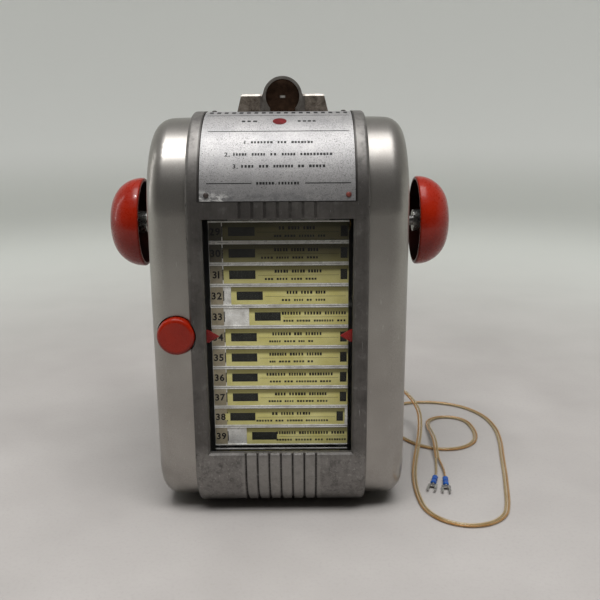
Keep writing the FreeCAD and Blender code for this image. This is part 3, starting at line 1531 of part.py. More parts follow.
nodes = [
    make_housing_shell(),
    make_front_bezel(),
    make_bezel_screws(),
    make_instruction_plate(),
    make_plate_pins(),
    make_window_glass(),
    make_glass_clips(),
    make_pointers(),
    make_coin_entry(),
    make_coin_entry_screws(),
    make_coin_chute(),
    make_coin_switch(),
    make_coin_lever(),
    make_coin_tray(),
    make_back_plate(),
    make_back_plate_screws(),
    make_frame("side_frame_left", "left"),
    make_frame("side_frame_right", "right"),
    make_frame_screws(),
    make_tie_rods(),
    make_shaft_bushes(),
    make_wheels("upper_belt_wheels", "top_axis", d.top_axis),
    make_wheels("lower_belt_wheels", "low_axis", d.low_axis),
    make_selector_shaft(),
    make_lower_shaft(),
    make_knob("knob_left", "left"),
    make_knob("knob_right", "right"),
    make_knob_hubs(),
    make_knob_set_screws(),
    make_drive_pinion(),
    make_selector_gear(),
    make_gear_stub(),
    make_contact_wiper(),
    make_contact_board(),
    make_contact_studs(),
    make_play_button(),
    make_button_stem(),
    make_button_spring(),
    make_button_guide(),
    make_button_switch(),
    make_terminal_block(),
    make_terminal_screws(),
    make_cable_grommet(),
    make_cord("cord_main", CORD_ROUTE, d.cord_radius),
    make_cord("cord_lead_a", LEAD_A_ROUTE, d.lead_radius),
    make_cord("cord_lead_b", LEAD_B_ROUTE, d.lead_radius),
]
nodes += make_terminals()
nodes += make_belt()
doc.recompute()

for thing in doc.Objects:
    if "Invalid" in thing.State or "Error" in thing.State:
        raise RuntimeError(f"{thing.Name} failed: {thing.State}")
os.makedirs("parts", exist_ok=True)
for node in nodes:
    if node.Shape.isNull() or not node.Shape.isValid() or not node.Shape.Solids:
        raise RuntimeError(f"{node.Label} has no sound solid")
for node in nodes:
    node.Shape.exportStep(f"parts/{node.Label}.step")
print(f"{len(nodes)} sub-parts written")
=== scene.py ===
import json
import math
import random

import bmesh
import bpy
from mathutils import Matrix, Vector


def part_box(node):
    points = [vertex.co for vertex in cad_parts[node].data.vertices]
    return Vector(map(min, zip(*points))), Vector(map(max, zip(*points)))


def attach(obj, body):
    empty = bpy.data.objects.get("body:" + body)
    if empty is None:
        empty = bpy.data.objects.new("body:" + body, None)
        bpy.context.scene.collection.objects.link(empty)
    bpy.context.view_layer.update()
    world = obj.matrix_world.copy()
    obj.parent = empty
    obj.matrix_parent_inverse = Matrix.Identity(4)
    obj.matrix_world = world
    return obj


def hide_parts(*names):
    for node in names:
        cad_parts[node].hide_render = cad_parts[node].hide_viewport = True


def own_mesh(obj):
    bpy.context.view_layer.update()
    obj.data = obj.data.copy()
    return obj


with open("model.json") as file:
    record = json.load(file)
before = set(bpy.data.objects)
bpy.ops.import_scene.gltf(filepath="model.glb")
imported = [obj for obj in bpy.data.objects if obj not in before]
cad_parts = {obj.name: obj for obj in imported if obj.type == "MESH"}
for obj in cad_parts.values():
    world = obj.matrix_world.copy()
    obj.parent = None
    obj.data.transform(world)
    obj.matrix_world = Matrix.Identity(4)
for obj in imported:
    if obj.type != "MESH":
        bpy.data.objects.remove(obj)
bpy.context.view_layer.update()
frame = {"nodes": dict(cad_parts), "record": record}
nodes = frame["nodes"]
scene = bpy.context.scene
scene.view_settings.view_transform = "Standard"

# Lengths are in millimetres, and MM turns them into metres where a mesh, curve or node is made. What the
# cord calls say, the weld distance and the stage are in metres.
MM = 0.001
rng = random.Random(7)

AXIS_Y, TOP_AXIS, LOW_AXIS = -3.0, 182.0, 50.0
PITCH = 13.2

# Places on the part that its finishes follow. The last four pairs are where a change starts and is full.
CUP_SIDE, CUP_HEIGHT, CUP_RADIUS = 2.3, 261.0, 10.8
KNOB_RADIUS, KNOB_ROUND, KNOB_OUTER = 28.5, 19.0, 108.3
GROOVE_PITCH, GROOVE_HALF, GROOVE_SIDE, GROOVE_TOP = 7.3, 0.3, 23.2, 44.2
COMB_LOW = 192.2
PLATE_SIDE, PLATE_LOW, RIM_SIDE = 44.9, 201.0, 53.1
GRIME_TOP, GRIME_FULL = 55, 4
FOOT_TOP, FOOT_FULL = 52, 40
# Where a painted sheen over the cast band's crest starts and is full.
SHEEN_LOW, SHEEN_FULL = 206, 232
# Where painted shade on the belt, under the window's upper edge, starts and is full.
BELT_SHADE_LOW, BELT_SHADE_FULL = 144, 175


# ---------------- materials


def linear(value):
    """A display value from 0 to 255 as linear light."""
    share = value / 255
    return share / 12.92 if value <= 10 else ((share + 0.055) / 1.055) ** 2.4


def srgb(red, green, blue):
    return linear(red), linear(green), linear(blue)


class Finish:
    """A procedural material. Most calls add nodes and give back their output."""

    def __init__(self, name, **values):
        self.material = bpy.data.materials.new(name)
        self.material.use_nodes = True
        self.tree = self.material.node_tree
        self.shader = next(n for n in self.tree.nodes if n.type == "BSDF_PRINCIPLED")
        self.spot = self.node("TexCoord", {}, "Object")
        self.set(**values)

    def put(self, socket, value):
        """Join an output to a socket, or set the socket to a plain value."""
        if isinstance(value, bpy.types.NodeSocket):
            self.tree.links.new(value, socket)
        elif isinstance(value, (int, float)) and socket.type == "RGBA":
            socket.default_value = (value, value, value, 1)
        elif isinstance(value, tuple) and socket.type == "RGBA":
            socket.default_value = (*value[:3], 1)
        else:
            socket.default_value = value

    def set(self, **values):
        """Values or outputs for the shader's own sockets, with _ for each space in a socket's name."""
        for socket, value in values.items():
            self.put(self.shader.inputs[socket.replace("_", " ")], value)

    def node(self, kind, inputs, output=0, **settings):
        """A new node with values or outputs for its inputs; gives back one of its outputs."""
        made = self.tree.nodes.new("ShaderNode" + kind)
        for key, value in settings.items():
            setattr(made, key, value)
        for key, value in inputs.items():
            self.put(made.inputs[key], value)
        return made.outputs[output]

    def noise(self, size, detail=4, rough=0.55, stretch=None, bend=0.0):
        """Noise from 0 to 1 with features of about a size in millimetres."""
        spot = self.node("Mapping", {"Vector": self.spot, "Scale": stretch}) if stretch else self.spot
        return self.node("TexNoise", {"Vector": spot, "Scale": 1 / (size * MM), "Detail": detail,
                                      "Roughness": rough, "Distortion": bend}, "Fac")

    def ramp(self, value, *stops):
        """Colour or grey stops given as (place, value)."""
        node = self.tree.nodes.new("ShaderNodeValToRGB")
        self.put(node.inputs["Fac"], value)
        elements = node.color_ramp.elements
        while len(elements) < len(stops):
            elements.new(0.5)
        for element, (place, colour) in zip(elements, stops):
            element.position = place
            element.color = (*colour, 1) if isinstance(colour, tuple) else (colour, colour, colour, 1)
        return node.outputs["Color"]

    def mix(self, share, a, b, kind="MIX"):
        return self.node("Mix", {0: share, 6: a, 7: b}, 2, data_type="RGBA", blend_type=kind)

    def calc(self, kind, *values):
        return self.node("Math", dict(enumerate(values)), operation=kind)

    def times(self, product, *more):
        for value in more:
            product = self.calc("MULTIPLY", product, value)
        return product

    def minus(self, a, b):
        return self.calc("SUBTRACT", a, b)

    def reach(self, a, b):
        """The distance that two lengths at right angles add up to."""
        return self.calc("SQRT", self.calc("ADD", self.calc("POWER", a, 2.0), self.calc("POWER", b, 2.0)))

    def over(self, under, top, mask, low, high, most=1.0):
        """One colour over another where a mask is above low, with its full share from high on."""
        return self.mix(self.ramp(mask, (low, 0.0), (high, most)), under, top)

    def tint(self, colour, other, *masks):
        """Another colour over this one, by the product of the masks."""
        return self.mix(self.times(*masks), colour, other)

    def grain(self, colour, noise, share, dark, light, low=0.3, high=0.7):
        """Fine light and dark grain in a colour."""
        return self.mix(share, colour, self.ramp(noise, (low, dark), (high, light)), "OVERLAY")

    def axis(self, name):
        return self.node("SeparateXYZ", {0: self.spot}, name)

    def span(self, value, low, high):
        """A smooth rise of a length in metres, from 0 at low to 1 at high in millimetres."""
        return self.node("MapRange", {"Value": value, "From Min": low * MM, "From Max": high * MM},
                         interpolation_type="SMOOTHSTEP")

    def between(self, value, low, high, soft):
        """1 where a length in metres is from low to high in millimetres, with soft ends."""
        fall = self.minus(1.0, self.span(value, high, high + soft))
        return self.times(self.span(value, low - soft, low), fall)

    def bump(self, height, depth, strength):
        """Relief from a height output; depth is in millimetres."""
        relief = {"Strength": strength, "Distance": depth * MM, "Height": height}
        self.set(Normal=self.node("Bump", relief, "Normal"))


def metal(name, light, dark, rough, metallic, blotch, grain, streak, speck):
    """Bare or plated metal: broad blotches, fine grain, streaked scratches and dark specks."""
    m = Finish(name, Metallic=metallic)
    broad = m.noise(blotch, 6, 0.6)
    fine = m.noise(grain, 3, 0.6)
    colour = m.over(dark, light, broad, 0.34, 0.66)
    colour = m.grain(colour, fine, 0.35, 0.35, 0.9)
    scratch = m.noise(2.2, 2, 0.7, streak, 0.4)
    colour = m.over(colour, tuple(min(1, c * 1.5) for c in light), scratch, 0.62, 0.68, 0.35)
    colour = m.over(colour, tuple(c * 0.25 for c in dark), m.noise(1.6, 5, 0.75), 0.63, 0.68, speck)
    m.set(Base_Color=colour, Roughness=m.ramp(broad, (0.3, rough + 0.12), (0.7, rough - 0.08)))
    m.bump(m.mix(0.5, fine, scratch), 0.05, 0.35)
    return m


def plastic(name, light, dark, rough, coat=0.0, size=14.0, texture=0.4, depth=0.02):
    """Plastic, paint or ink: slow clouding, pale scuffs and a fine texture."""
    m = Finish(name, Coat_Weight=coat, Coat_Roughness=0.08)
    scuff = m.noise(3.0, 4, 0.7, (1, 1, 0.25), 0.6)
    colour = m.over(dark, light, m.noise(size, 5, 0.6), 0.35, 0.65)
    colour = m.over(colour, tuple(min(1, c * 1.3 + 0.06) for c in light), scuff, 0.62, 0.7, 0.25)
    m.set(Base_Color=colour, Roughness=m.ramp(scuff, (0.4, rough), (0.75, min(1, rough + 0.25))))
    m.bump(m.noise(texture, 2, 0.5), depth, 0.4)
    return m


def make_paint():
    """Warm silver-grey metallic paint, satin, with flake, dust, chips and dark grime towards the floor."""
    m = Finish("grey_paint", Metallic=0.92)
    broad = m.noise(60, 5, 0.6)
    flake = m.noise(0.45, 2, 0.7)
    colour = m.over(srgb(150, 146, 141), srgb(168, 164, 159), broad, 0.3, 0.7)
    colour = m.grain(colour, flake, 0.22, 0.25, 0.85)
    grime = m.ramp(m.noise(22, 6, 0.65), (0.35, 0), (0.75, 0.5))
    colour = m.tint(colour, srgb(92, 88, 82), m.span(m.axis("Z"), GRIME_TOP, GRIME_FULL), grime)
    speck = m.noise(1.3, 6, 0.8)
    colour = m.over(colour, srgb(70, 67, 63), speck, 0.66, 0.7, 0.6)
    rub = m.noise(1.1, 3, 0.7, (1, 1, 0.12), 0.3)
    colour = m.over(colour, srgb(214, 212, 208), rub, 0.68, 0.73, 0.4)
    m.set(Base_Color=colour, Roughness=m.ramp(broad, (0.3, 0.36), (0.7, 0.3)))
    m.bump(m.mix(0.3, flake, speck), 0.04, 0.3)
    return m


def groove_dirt(m, side):
    """Where the dirt lies: in the band's lower grooves, and faintly in the ones over the window."""
    step = m.calc("FRACT", m.calc("ADD", m.calc("DIVIDE", m.axis("X"), GROOVE_PITCH * MM), 0.5))
    off = m.times(m.calc("ABSOLUTE", m.minus(step, 0.5)), GROOVE_PITCH * MM)
    below = m.span(m.axis("Z"), GROOVE_TOP + 0.4, GROOVE_TOP)
    above = m.times(m.span(m.axis("Z"), COMB_LOW - 0.4, COMB_LOW), 0.3)
    row = m.times(m.span(off, GROOVE_HALF + 0.35, GROOVE_HALF), m.span(side, GROOVE_SIDE + 0.4, GROOVE_SIDE))
    return m.times(row, m.calc("MAXIMUM", below, above))


def make_cast():
    """Cast aluminium of the band: dark satin, brushed upright, blotched, with dirty grooves and nicks."""
    m = Finish("cast_aluminium", Metallic=0.8)
    side = m.calc("ABSOLUTE", m.axis("X"))
    patch = m.noise(7.0, 6, 0.6, bend=0.3)
    brush = m.noise(1.3, 4, 0.7, (1, 1, 0.05))
    pit = m.noise(1.0, 4, 0.8)
    dirt = groove_dirt(m, side)
    foot = m.span(m.axis("Z"), FOOT_TOP, FOOT_FULL)
    painted_sheen = m.span(m.axis("Z"), SHEEN_LOW, SHEEN_FULL)
    colour = m.over(srgb(82, 79, 77), srgb(102, 99, 96), m.noise(30, 5, 0.55, bend=0.4), 0.32, 0.68)
    colour = m.tint(colour, srgb(132, 129, 126), foot, 0.75)
    # Painted sheen: the band is lighter over its crest.
    colour = m.tint(colour, srgb(154, 151, 147), painted_sheen, 0.42)
    colour = m.over(colour, srgb(66, 64, 62), patch, 0.52, 0.68, 0.45)
    colour = m.mix(m.ramp(patch, (0.3, 0.3), (0.42, 0)), colour, srgb(142, 140, 137))
    colour = m.grain(colour, brush, 0.2, 0.35, 0.8)
    colour = m.grain(colour, m.noise(0.35, 3, 0.6), 0.15, 0.3, 0.85)
    colour = m.over(colour, srgb(196, 195, 192), m.noise(1.2, 3, 0.75, (1, 1, 0.07), 0.3), 0.67, 0.71, 0.35)
    colour = m.over(colour, srgb(38, 37, 36), pit, 0.68, 0.72, 0.7)
    colour = m.tint(colour, srgb(52, 50, 49), dirt, 0.8)
    scuff = m.ramp(m.noise(1.7, 6, 0.8, bend=0.6), (0.54, 0), (0.64, 0.55))
    colour = m.tint(colour, srgb(172, 170, 166), foot, scuff)
    stain = m.ramp(m.noise(4.5, 6, 0.75, bend=0.4), (0.52, 0), (0.62, 0.5))
    colour = m.tint(colour, srgb(78, 76, 74), foot, stain)
    lands = m.times(m.span(side, 26, 23), m.span(m.axis("Z"), 45, 41))
    colour = m.tint(colour, srgb(156, 153, 149), lands, m.minus(0.5, m.times(dirt, 0.5)))
    # A painted highlight along the band's outer edges.
    colour = m.tint(colour, srgb(168, 166, 162), m.between(side, RIM_SIDE, RIM_SIDE + 1.1, 0.3), 0.4)
    # Painted shade in the gap along each side of the instruction plate.
    beside = m.between(side, PLATE_SIDE, PLATE_SIDE + 1.4, 0.2)
    corner = m.times(beside, m.span(m.axis("Z"), PLATE_LOW, PLATE_LOW + 0.6))
    colour = m.tint(colour, srgb(50, 47, 45), corner, 0.7)
    nick = m.ramp(m.noise(5.0, 3, 0.7), (0.66, 0), (0.7, 0.9))
    colour = m.tint(colour, srgb(34, 33, 32), m.between(side, RIM_SIDE - 0.5, RIM_SIDE + 0.9, 0.4), nick)
    m.set(Base_Color=colour, Roughness=m.mix(dirt, m.ramp(patch, (0.3, 0.42), (0.65, 0.5)), 0.8))
    m.bump(m.mix(0.5, brush, m.mix(0.5, patch, pit)), 0.08, 0.4)
    return m


def make_entry():
    """The coin casting: mottled grey and brown, with the dark polished dish of its cup."""
    m = Finish("entry_aluminium", Metallic=0.8)
    broad = m.noise(7, 8, 0.7, bend=0.5)
    fine = m.noise(0.6, 3, 0.6)
    pit = m.noise(1.1, 4, 0.8)
    side = m.calc("ABSOLUTE", m.minus(m.axis("X"), CUP_SIDE * MM))
    up = m.minus(m.axis("Z"), CUP_HEIGHT * MM)
    reach = m.reach(side, up)
    wing = m.span(side, 14.0, 15.0)
    dark = m.mix(wing, srgb(102, 96, 90), srgb(98, 88, 78))
    light = m.mix(wing, srgb(134, 129, 123), srgb(168, 157, 145))
    colour = m.over(dark, light, broad, 0.38, 0.62)
    colour = m.grain(colour, fine, 0.3, 0.3, 0.9)
    colour = m.over(colour, srgb(48, 42, 37), pit, 0.62, 0.68, 0.7)
    rim = m.times(m.between(reach, CUP_RADIUS, CUP_RADIUS + 1.8, 0.1), m.span(up, -3, -1))
    colour = m.tint(colour, srgb(176, 173, 168), rim, 0.3)
    # A painted highlight along the wings' top edges.
    edge = m.span(m.axis("Z"), CUP_HEIGHT, CUP_HEIGHT + 0.6)
    colour = m.tint(colour, srgb(190, 186, 180), edge, m.times(wing, 0.6))
    cup = m.span(reach, CUP_RADIUS + 0.1, CUP_RADIUS - 0.1)
    mouth = m.times(m.span(side, 8.2, 8.0), m.span(up, 0.5, 0.0))
    inside = m.times(m.calc("MAXIMUM", cup, mouth), m.between(m.axis("Y"), 6.4, 10.6, 0.6))
    brown = m.ramp(m.noise(3.5, 5, 0.6), (0.3, srgb(62, 46, 36)), (0.7, srgb(104, 80, 64)))
    colour = m.mix(inside, colour, brown)
    # A painted highlight at the centre of the cup's dish.
    dish_highlight = m.times(m.span(side, 2.0, 1.0), m.span(m.calc("ABSOLUTE", up), 1.0, 0.4), inside)
    m.set(Base_Color=m.mix(dish_highlight, colour, srgb(250, 246, 238)),
          Roughness=m.mix(inside, m.ramp(broad, (0.3, 0.5), (0.7, 0.4)), 0.16))
    m.bump(m.mix(0.5, fine, pit), 0.08, 0.35)
    return m


def make_plate():
    """The thin instruction plate: neutral speckled aluminium, worn bare in patches at its lower left."""
    m = Finish("plate_aluminium", Metallic=0.7)
    fleck = m.noise(0.5, 4, 0.75)
    dots = m.noise(0.9, 4, 0.8)
    colour = m.over(srgb(150, 149, 149), srgb(172, 170, 169), m.noise(18, 6, 0.6), 0.3, 0.7)
    colour = m.grain(colour, fleck, 0.4, 0.25, 0.85, 0.35, 0.65)
    colour = m.over(colour, srgb(52, 50, 50), dots, 0.6, 0.63, 0.85)
    specks = m.ramp(m.noise(0.7, 5, 0.8), (0.57, 0), (0.6, 0.8))
    right = m.mix(m.span(m.axis("X"), 0, 40), m.noise(26, 3, 0.5), 0.62)
    colour = m.tint(colour, srgb(78, 76, 75), specks, m.ramp(right, (0.5, 0), (0.58, 1.0)))
    # Painted shade: the plate is darker towards its lower edge.
    colour = m.tint(colour, srgb(112, 111, 111), m.span(m.axis("Z"), 222, 208), 0.35)
    low = m.span(m.axis("Z"), 209, 204)
    left = m.span(m.axis("X"), -24, -34)
    rot = m.noise(5, 8, 0.7, (1, 1, 1.6), 0.6)
    colour = m.tint(colour, srgb(112, 112, 114), low, m.ramp(rot, (0.42, 0), (0.6, 0.6)))
    colour = m.tint(colour, srgb(226, 225, 222), low, left, m.ramp(rot, (0.4, 0.95), (0.52, 0)))
    m.set(Base_Color=colour, Roughness=m.ramp(fleck, (0.3, 0.54), (0.7, 0.47)))
    m.bump(m.mix(0.5, fleck, dots), 0.03, 0.35)
    return m


def knob_depth(m, side):
    """How deep a place lies under the outer skin of a knob, a dome with a round edge about the shaft."""
    ahead = m.minus(side, (KNOB_OUTER - KNOB_ROUND) * MM)
    around = m.reach(m.minus(m.axis("Y"), AXIS_Y * MM), m.minus(m.axis("Z"), TOP_AXIS * MM))
    out = m.minus(around, (KNOB_RADIUS - KNOB_ROUND) * MM)
    corner = m.reach(m.calc("MAXIMUM", ahead, 0.0), m.calc("MAXIMUM", out, 0.0))
    flat = m.calc("MINIMUM", m.calc("MAXIMUM", ahead, out), 0.0)
    return m.minus(KNOB_ROUND * MM, m.calc("ADD", corner, flat))


def make_red():
    """Glossy red plastic with clouding, hairline scuffs and dust. The knobs are dull inside, with painted
    shade in their hollows.
    """
    m = Finish("red_plastic", Coat_Roughness=0.06, IOR=1.45, Specular_IOR_Level=0.3)
    side = m.calc("ABSOLUTE", m.axis("X"))
    scuff = m.noise(2.4, 4, 0.75, (1, 0.3, 1), 0.8)
    colour = m.over(srgb(114, 19, 4), srgb(132, 27, 7), m.noise(18, 5, 0.6), 0.3, 0.7)
    colour = m.over(colour, srgb(188, 84, 66), scuff, 0.66, 0.72, 0.25)
    colour = m.over(colour, srgb(74, 18, 12), m.noise(0.9, 5, 0.8), 0.69, 0.73, 0.35)
    # Painted shade inside the knobs' hollows, which are also rough and have no coat.
    inside = m.times(m.span(knob_depth(m, side), 1.9, 2.3), m.span(side, 84.0, 85.0))
    m.set(Base_Color=m.mix(inside, colour, srgb(44, 14, 9)), Coat_Weight=m.mix(inside, 0.2, 0.0),
          Roughness=m.mix(inside, m.ramp(scuff, (0.45, 0.26), (0.72, 0.48)), 0.9))
    m.bump(m.noise(4.0, 2, 0.5), 0.04, 0.2)
    return m


def sooty(m):
    """Painted shade on the belt: none low in the window, dark under its upper edge."""
    return m.times(m.span(m.axis("Z"), BELT_SHADE_LOW, BELT_SHADE_FULL), 0.9)


def make_card():
    """Pale yellow title card with age stains and paper grain, and painted shade along its upper part."""
    m = Finish("title_card", Roughness=0.6, Coat_Weight=0.15, Coat_Roughness=0.3)
    fleck = m.noise(0.5, 4, 0.7)
    colour = m.over(srgb(206, 196, 118), srgb(224, 216, 148), m.noise(11, 6, 0.6), 0.3, 0.7)
    row = m.calc("FRACT", m.calc("DIVIDE", m.minus(m.axis("Z"), (LOW_AXIS - PITCH / 2) * MM), PITCH * MM))
    # Painted shadow of the lip above, over each card's upper part.
    shade = m.ramp(row, (0.0, 0), (0.62, 0), (0.74, 0.8), (1.0, 0.9))
    colour = m.mix(shade, colour, srgb(92, 86, 44))
    colour = m.grain(colour, fleck, 0.18, 0.3, 0.9)
    # Painted shade on the cards under the window's upper edge.
    m.set(Base_Color=m.mix(sooty(m), colour, srgb(48, 43, 20)))
    m.bump(fleck, 0.02, 0.3)
    return m


def make_tab():
    """The number tabs: the same paper, older and greyer, in worn clear sleeves."""
    m = Finish("number_tab", Roughness=0.5)
    rub = m.noise(2.0, 4, 0.75, (1, 1, 0.3))
    colour = m.over(srgb(142, 132, 108), srgb(172, 161, 136), m.noise(5, 5, 0.6), 0.3, 0.7)
    colour = m.over(colour, srgb(176, 170, 150), rub, 0.62, 0.7, 0.5)
    # Painted shade on the tabs under the window's upper edge.
    m.set(Base_Color=m.mix(sooty(m), colour, srgb(40, 37, 26)))
    m.bump(rub, 0.02, 0.3)
    return m


def make_vinyl():
    """Clear sheath of the cord, yellowed unevenly."""
    m = Finish("clear_vinyl", Roughness=0.1, IOR=1.5, Alpha=0.2, Coat_Weight=0.8, Coat_Roughness=0.04)
    m.set(Base_Color=m.ramp(m.noise(7, 4, 0.6), (0.3, srgb(196, 158, 98)), (0.7, srgb(232, 206, 158))))
    m.bump(m.noise(2.0, 2, 0.5), 0.03, 0.3)
    return m


def make_glass():
    """Window glass with faint smears."""
    m = Finish("window_glass", IOR=1.5, Alpha=0.06)
    smear = m.noise(28, 5, 0.6, bend=0.6)
    m.set(Base_Color=m.ramp(smear, (0.3, 0.01), (0.7, 0.06)),
          Roughness=m.ramp(smear, (0.4, 0.04), (0.7, 0.2)))
    return m


def make_strand(name, light, dark):
    """Fine stranded wire."""
    m = Finish(name, Metallic=0.9)
    lay = m.noise(0.5, 2, 0.6, bend=1.0)
    m.set(Base_Color=m.ramp(lay, (0.35, dark), (0.65, light)), Roughness=m.ramp(lay, (0.3, 0.45), (0.7, 0.3)))
    m.bump(lay, 0.08, 0.6)
    return m


# Light and dark colour, roughness, share of metal, size of blotches and grain, streaks and dark specks.
METALS = {
    "slat_aluminium": ((250, 249, 244), (206, 203, 196), 0.3, 0.3, 5, 0.6, (0.15, 1, 1), 0.25),
    "sheet_aluminium": ((206, 206, 204), (150, 150, 149), 0.34, 0.9, 12, 0.5, (0.15, 1, 1), 0.5),
    "zinc_steel": ((170, 171, 170), (150, 151, 151), 0.42, 0.85, 34, 0.8, (1, 1, 0.2), 0.4),
    "steel": ((176, 175, 173), (116, 114, 112), 0.36, 0.95, 6, 0.5, (0.2, 1, 1), 0.4),
    "brass": ((206, 172, 98), (142, 108, 54), 0.34, 0.95, 7, 0.5, (1, 0.2, 1), 0.4),
    "nickel": ((214, 213, 208), (160, 158, 152), 0.24, 0.95, 8, 0.6, (0.2, 1, 1), 0.3),
    "tinned": ((204, 202, 198), (150, 148, 144), 0.32, 0.95, 4, 0.4, (1, 0.2, 1), 0.3),
}
# Light and dark colour, roughness, share of gloss coat, size of clouding and texture, and its depth.
PLASTICS = {
    "red_paint": ((158, 24, 20), (112, 14, 13), 0.45),
    "phenolic": ((96, 62, 42), (62, 38, 26), 0.5),
    "rubber": ((42, 41, 40), (26, 26, 26), 0.7, 0, 8, 0.5, 0.06),
    "blue_nylon": ((8, 74, 150), (4, 46, 112), 0.38, 0.2, 5, 0.6, 0.04),
    "ink": ((20, 19, 20), (10, 10, 11), 0.55, 0, 3, 0.3, 0.01),
    "ink_block": ((38, 39, 34), (26, 27, 23), 0.55, 0, 3, 0.3, 0.01),
    "ink_red": ((92, 14, 18), (70, 10, 13), 0.85, 0, 3, 0.3, 0.01),
    "pin_dark": ((58, 50, 46), (30, 27, 26), 0.45, 0, 2, 0.3, 0.03),
    "pin_rust": ((104, 48, 38), (72, 30, 26), 0.5, 0, 2, 0.3, 0.03),
}
finish = {
    "grey_paint": make_paint(),
    "cast_aluminium": make_cast(),
    "entry": make_entry(),
    "plate": make_plate(),
    "red_plastic": make_red(),
    "title_paper": make_card(),
    "tab": make_tab(),
    "clear_vinyl": make_vinyl(),
    "glass": make_glass(),
    "copper": make_strand("copper_wire", srgb(206, 146, 88), srgb(112, 72, 38)),
    "tin_wire": make_strand("tin_wire", srgb(196, 182, 146), srgb(96, 88, 68)),
}
for kind, table in ((metal, METALS), (plastic, PLASTICS)):
    for name, (light, dark, *sizes) in table.items():
        finish[name] = kind(name, srgb(*light), srgb(*dark), *sizes)
for name in ("clear_vinyl", "glass"):
    finish[name].material.surface_render_method = "BLENDED"

special = {"coin_entry": "entry", "instruction_plate": "plate"}
special.update({f"{section}_slats": "slat_aluminium" for section in ("front", "top", "rear", "bottom")})
for part in frame["record"]["subparts"]:
    name = part["node"]
    chosen = finish[special.get(name, part["material_slot"])].material
    data = nodes[name].data
    data.materials.clear()
    data.materials.append(chosen)


# ---------------- softer edges on the machined and cast parts


def soften(name, width):
    """Round a CAD part's sharp edges by a modifier; its own mesh stays as it is."""
    thing = nodes[name]
    weld = thing.modifiers.new("weld", "WELD")
    weld.merge_threshold = 0.00002
    bevel = thing.modifiers.new("edges", "BEVEL")
    bevel.width = width * MM
    bevel.segments = 2
    bevel.limit_method = "ANGLE"
    bevel.angle_limit = math.radians(38)
    bevel.miter_outer = "MITER_ARC"
    normals = thing.modifiers.new("normals", "WEIGHTED_NORMAL")
    normals.keep_sharp = True
    normals.weight = 60


for name, width in (
    ("front_bezel", 0.3), ("coin_entry", 0.4), ("housing_shell", 0.4), ("instruction_plate", 0.12),
    ("back_plate", 0.4), ("knob_hubs", 0.3), ("window_glass", 0.3), ("shaft_bushes", 0.25),
    ("cable_grommet", 0.4), ("front_slats", 0.12), ("knob_left", 0.2), ("knob_right", 0.2),
    ("pointers", 0.1), ("side_frame_left", 0.2), ("side_frame_right", 0.2),
):
    soften(name, width)


# ---------------- mesh building


class Build:
    """Collects solids and makes them one object with several finishes."""

    def __init__(self):
        self.points, self.faces, self.slots, self.smooth = [], [], [], []

    def add(self, points, faces, slot=0, smooth=False):
        start = len(self.points)
        self.points += [tuple(p) for p in points]
        self.faces += [[start + i for i in face] for face in faces]
        self.slots += [slot] * len(faces)
        self.smooth += [smooth] * len(faces)

    def sheet(self, place, us, vs, low, high, slot=0):
        """A thin solid over a grid of (u, v); place(u, v, lift) gives its points, from low to high."""
        wide = len(vs)
        upper = len(us) * wide
        points = [place(u, v, lift) for lift in (low, high) for u in us for v in vs]
        faces = []
        for i in range(len(us) - 1):
            for k in range(wide - 1):
                a = i * wide + k
                quad = [a, a + wide, a + wide + 1, a + 1]
                faces.append([upper + j for j in quad])
                faces.append(quad[::-1])
        rim = [i * wide for i in range(len(us))]
        rim += [(len(us) - 1) * wide + k for k in range(1, wide)]
        rim += [i * wide + wide - 1 for i in range(len(us) - 2, -1, -1)]
        rim += [k for k in range(wide - 2, 0, -1)]
        for a, b in zip(rim, rim[1:] + rim[:1]):
            faces.append([a, b, upper + b, upper + a])
        self.add(points, faces, slot)

    def lathe(self, profile, steps, matrix, slot=0):
        """Turn (radius, height) points about Z, with a flat face at both ends."""
        spots = [(*spot, height) for radius, height in profile for spot in ring(radius, steps)]
        faces = ring_faces(len(profile), steps) + end_faces(len(profile), steps)
        self.add([matrix @ Vector(spot) for spot in spots], faces, slot, True)

    def prism(self, outline, low, high, matrix, slot=0):
        """Push an outline of (x, y) points from low to high along Z."""
        count = len(outline)
        points = [matrix @ Vector((x, y, z)) for z in (low, high) for x, y in outline]
        self.add(points, end_faces(2, count) + ring_faces(2, count), slot)

    def make(self, name, finishes, body, bevel=0.0):
        data = bpy.data.meshes.new(name)
        data.from_pydata([(x * MM, y * MM, z * MM) for x, y, z in self.points], [], self.faces)
        for polygon, slot, smooth in zip(data.polygons, self.slots, self.smooth):
            polygon.material_index = slot
            polygon.use_smooth = smooth
        for each in finishes:
            data.materials.append(finish[each].material)
        made = bmesh.new()
        made.from_mesh(data)
        bmesh.ops.recalc_face_normals(made, faces=made.faces)
        made.to_mesh(data)
        made.free()
        data.set_sharp_from_angle(angle=math.radians(40))
        thing = placed(name, data)
        if bevel:
            edges = thing.modifiers.new("edges", "BEVEL")
            edges.width = bevel * MM
            edges.segments = 2
            edges.limit_method = "ANGLE"
            edges.angle_limit = math.radians(50)
        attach(thing, body)
        return thing


def placed(name, data):
    thing = bpy.data.objects.new(name, data)
    scene.collection.objects.link(thing)
    return thing


def ring(radius, count):
    turns = [2 * math.pi * i / count for i in range(count)]
    return [(radius * math.cos(turn), radius * math.sin(turn)) for turn in turns]


def ring_faces(rings, around):
    """Faces between rings of points that follow each other."""
    faces = []
    for start in range(0, (rings - 1) * around, around):
        for i in range(around):
            k = (i + 1) % around
            faces.append([start + i, start + k, start + around + k, start + around + i])
    return faces


def end_faces(rings, around):
    return [list(reversed(range(around))), [(rings - 1) * around + i for i in range(around)]]


def steps_between(low, high, count):
    return [low + (high - low) * i / count for i in range(count + 1)]


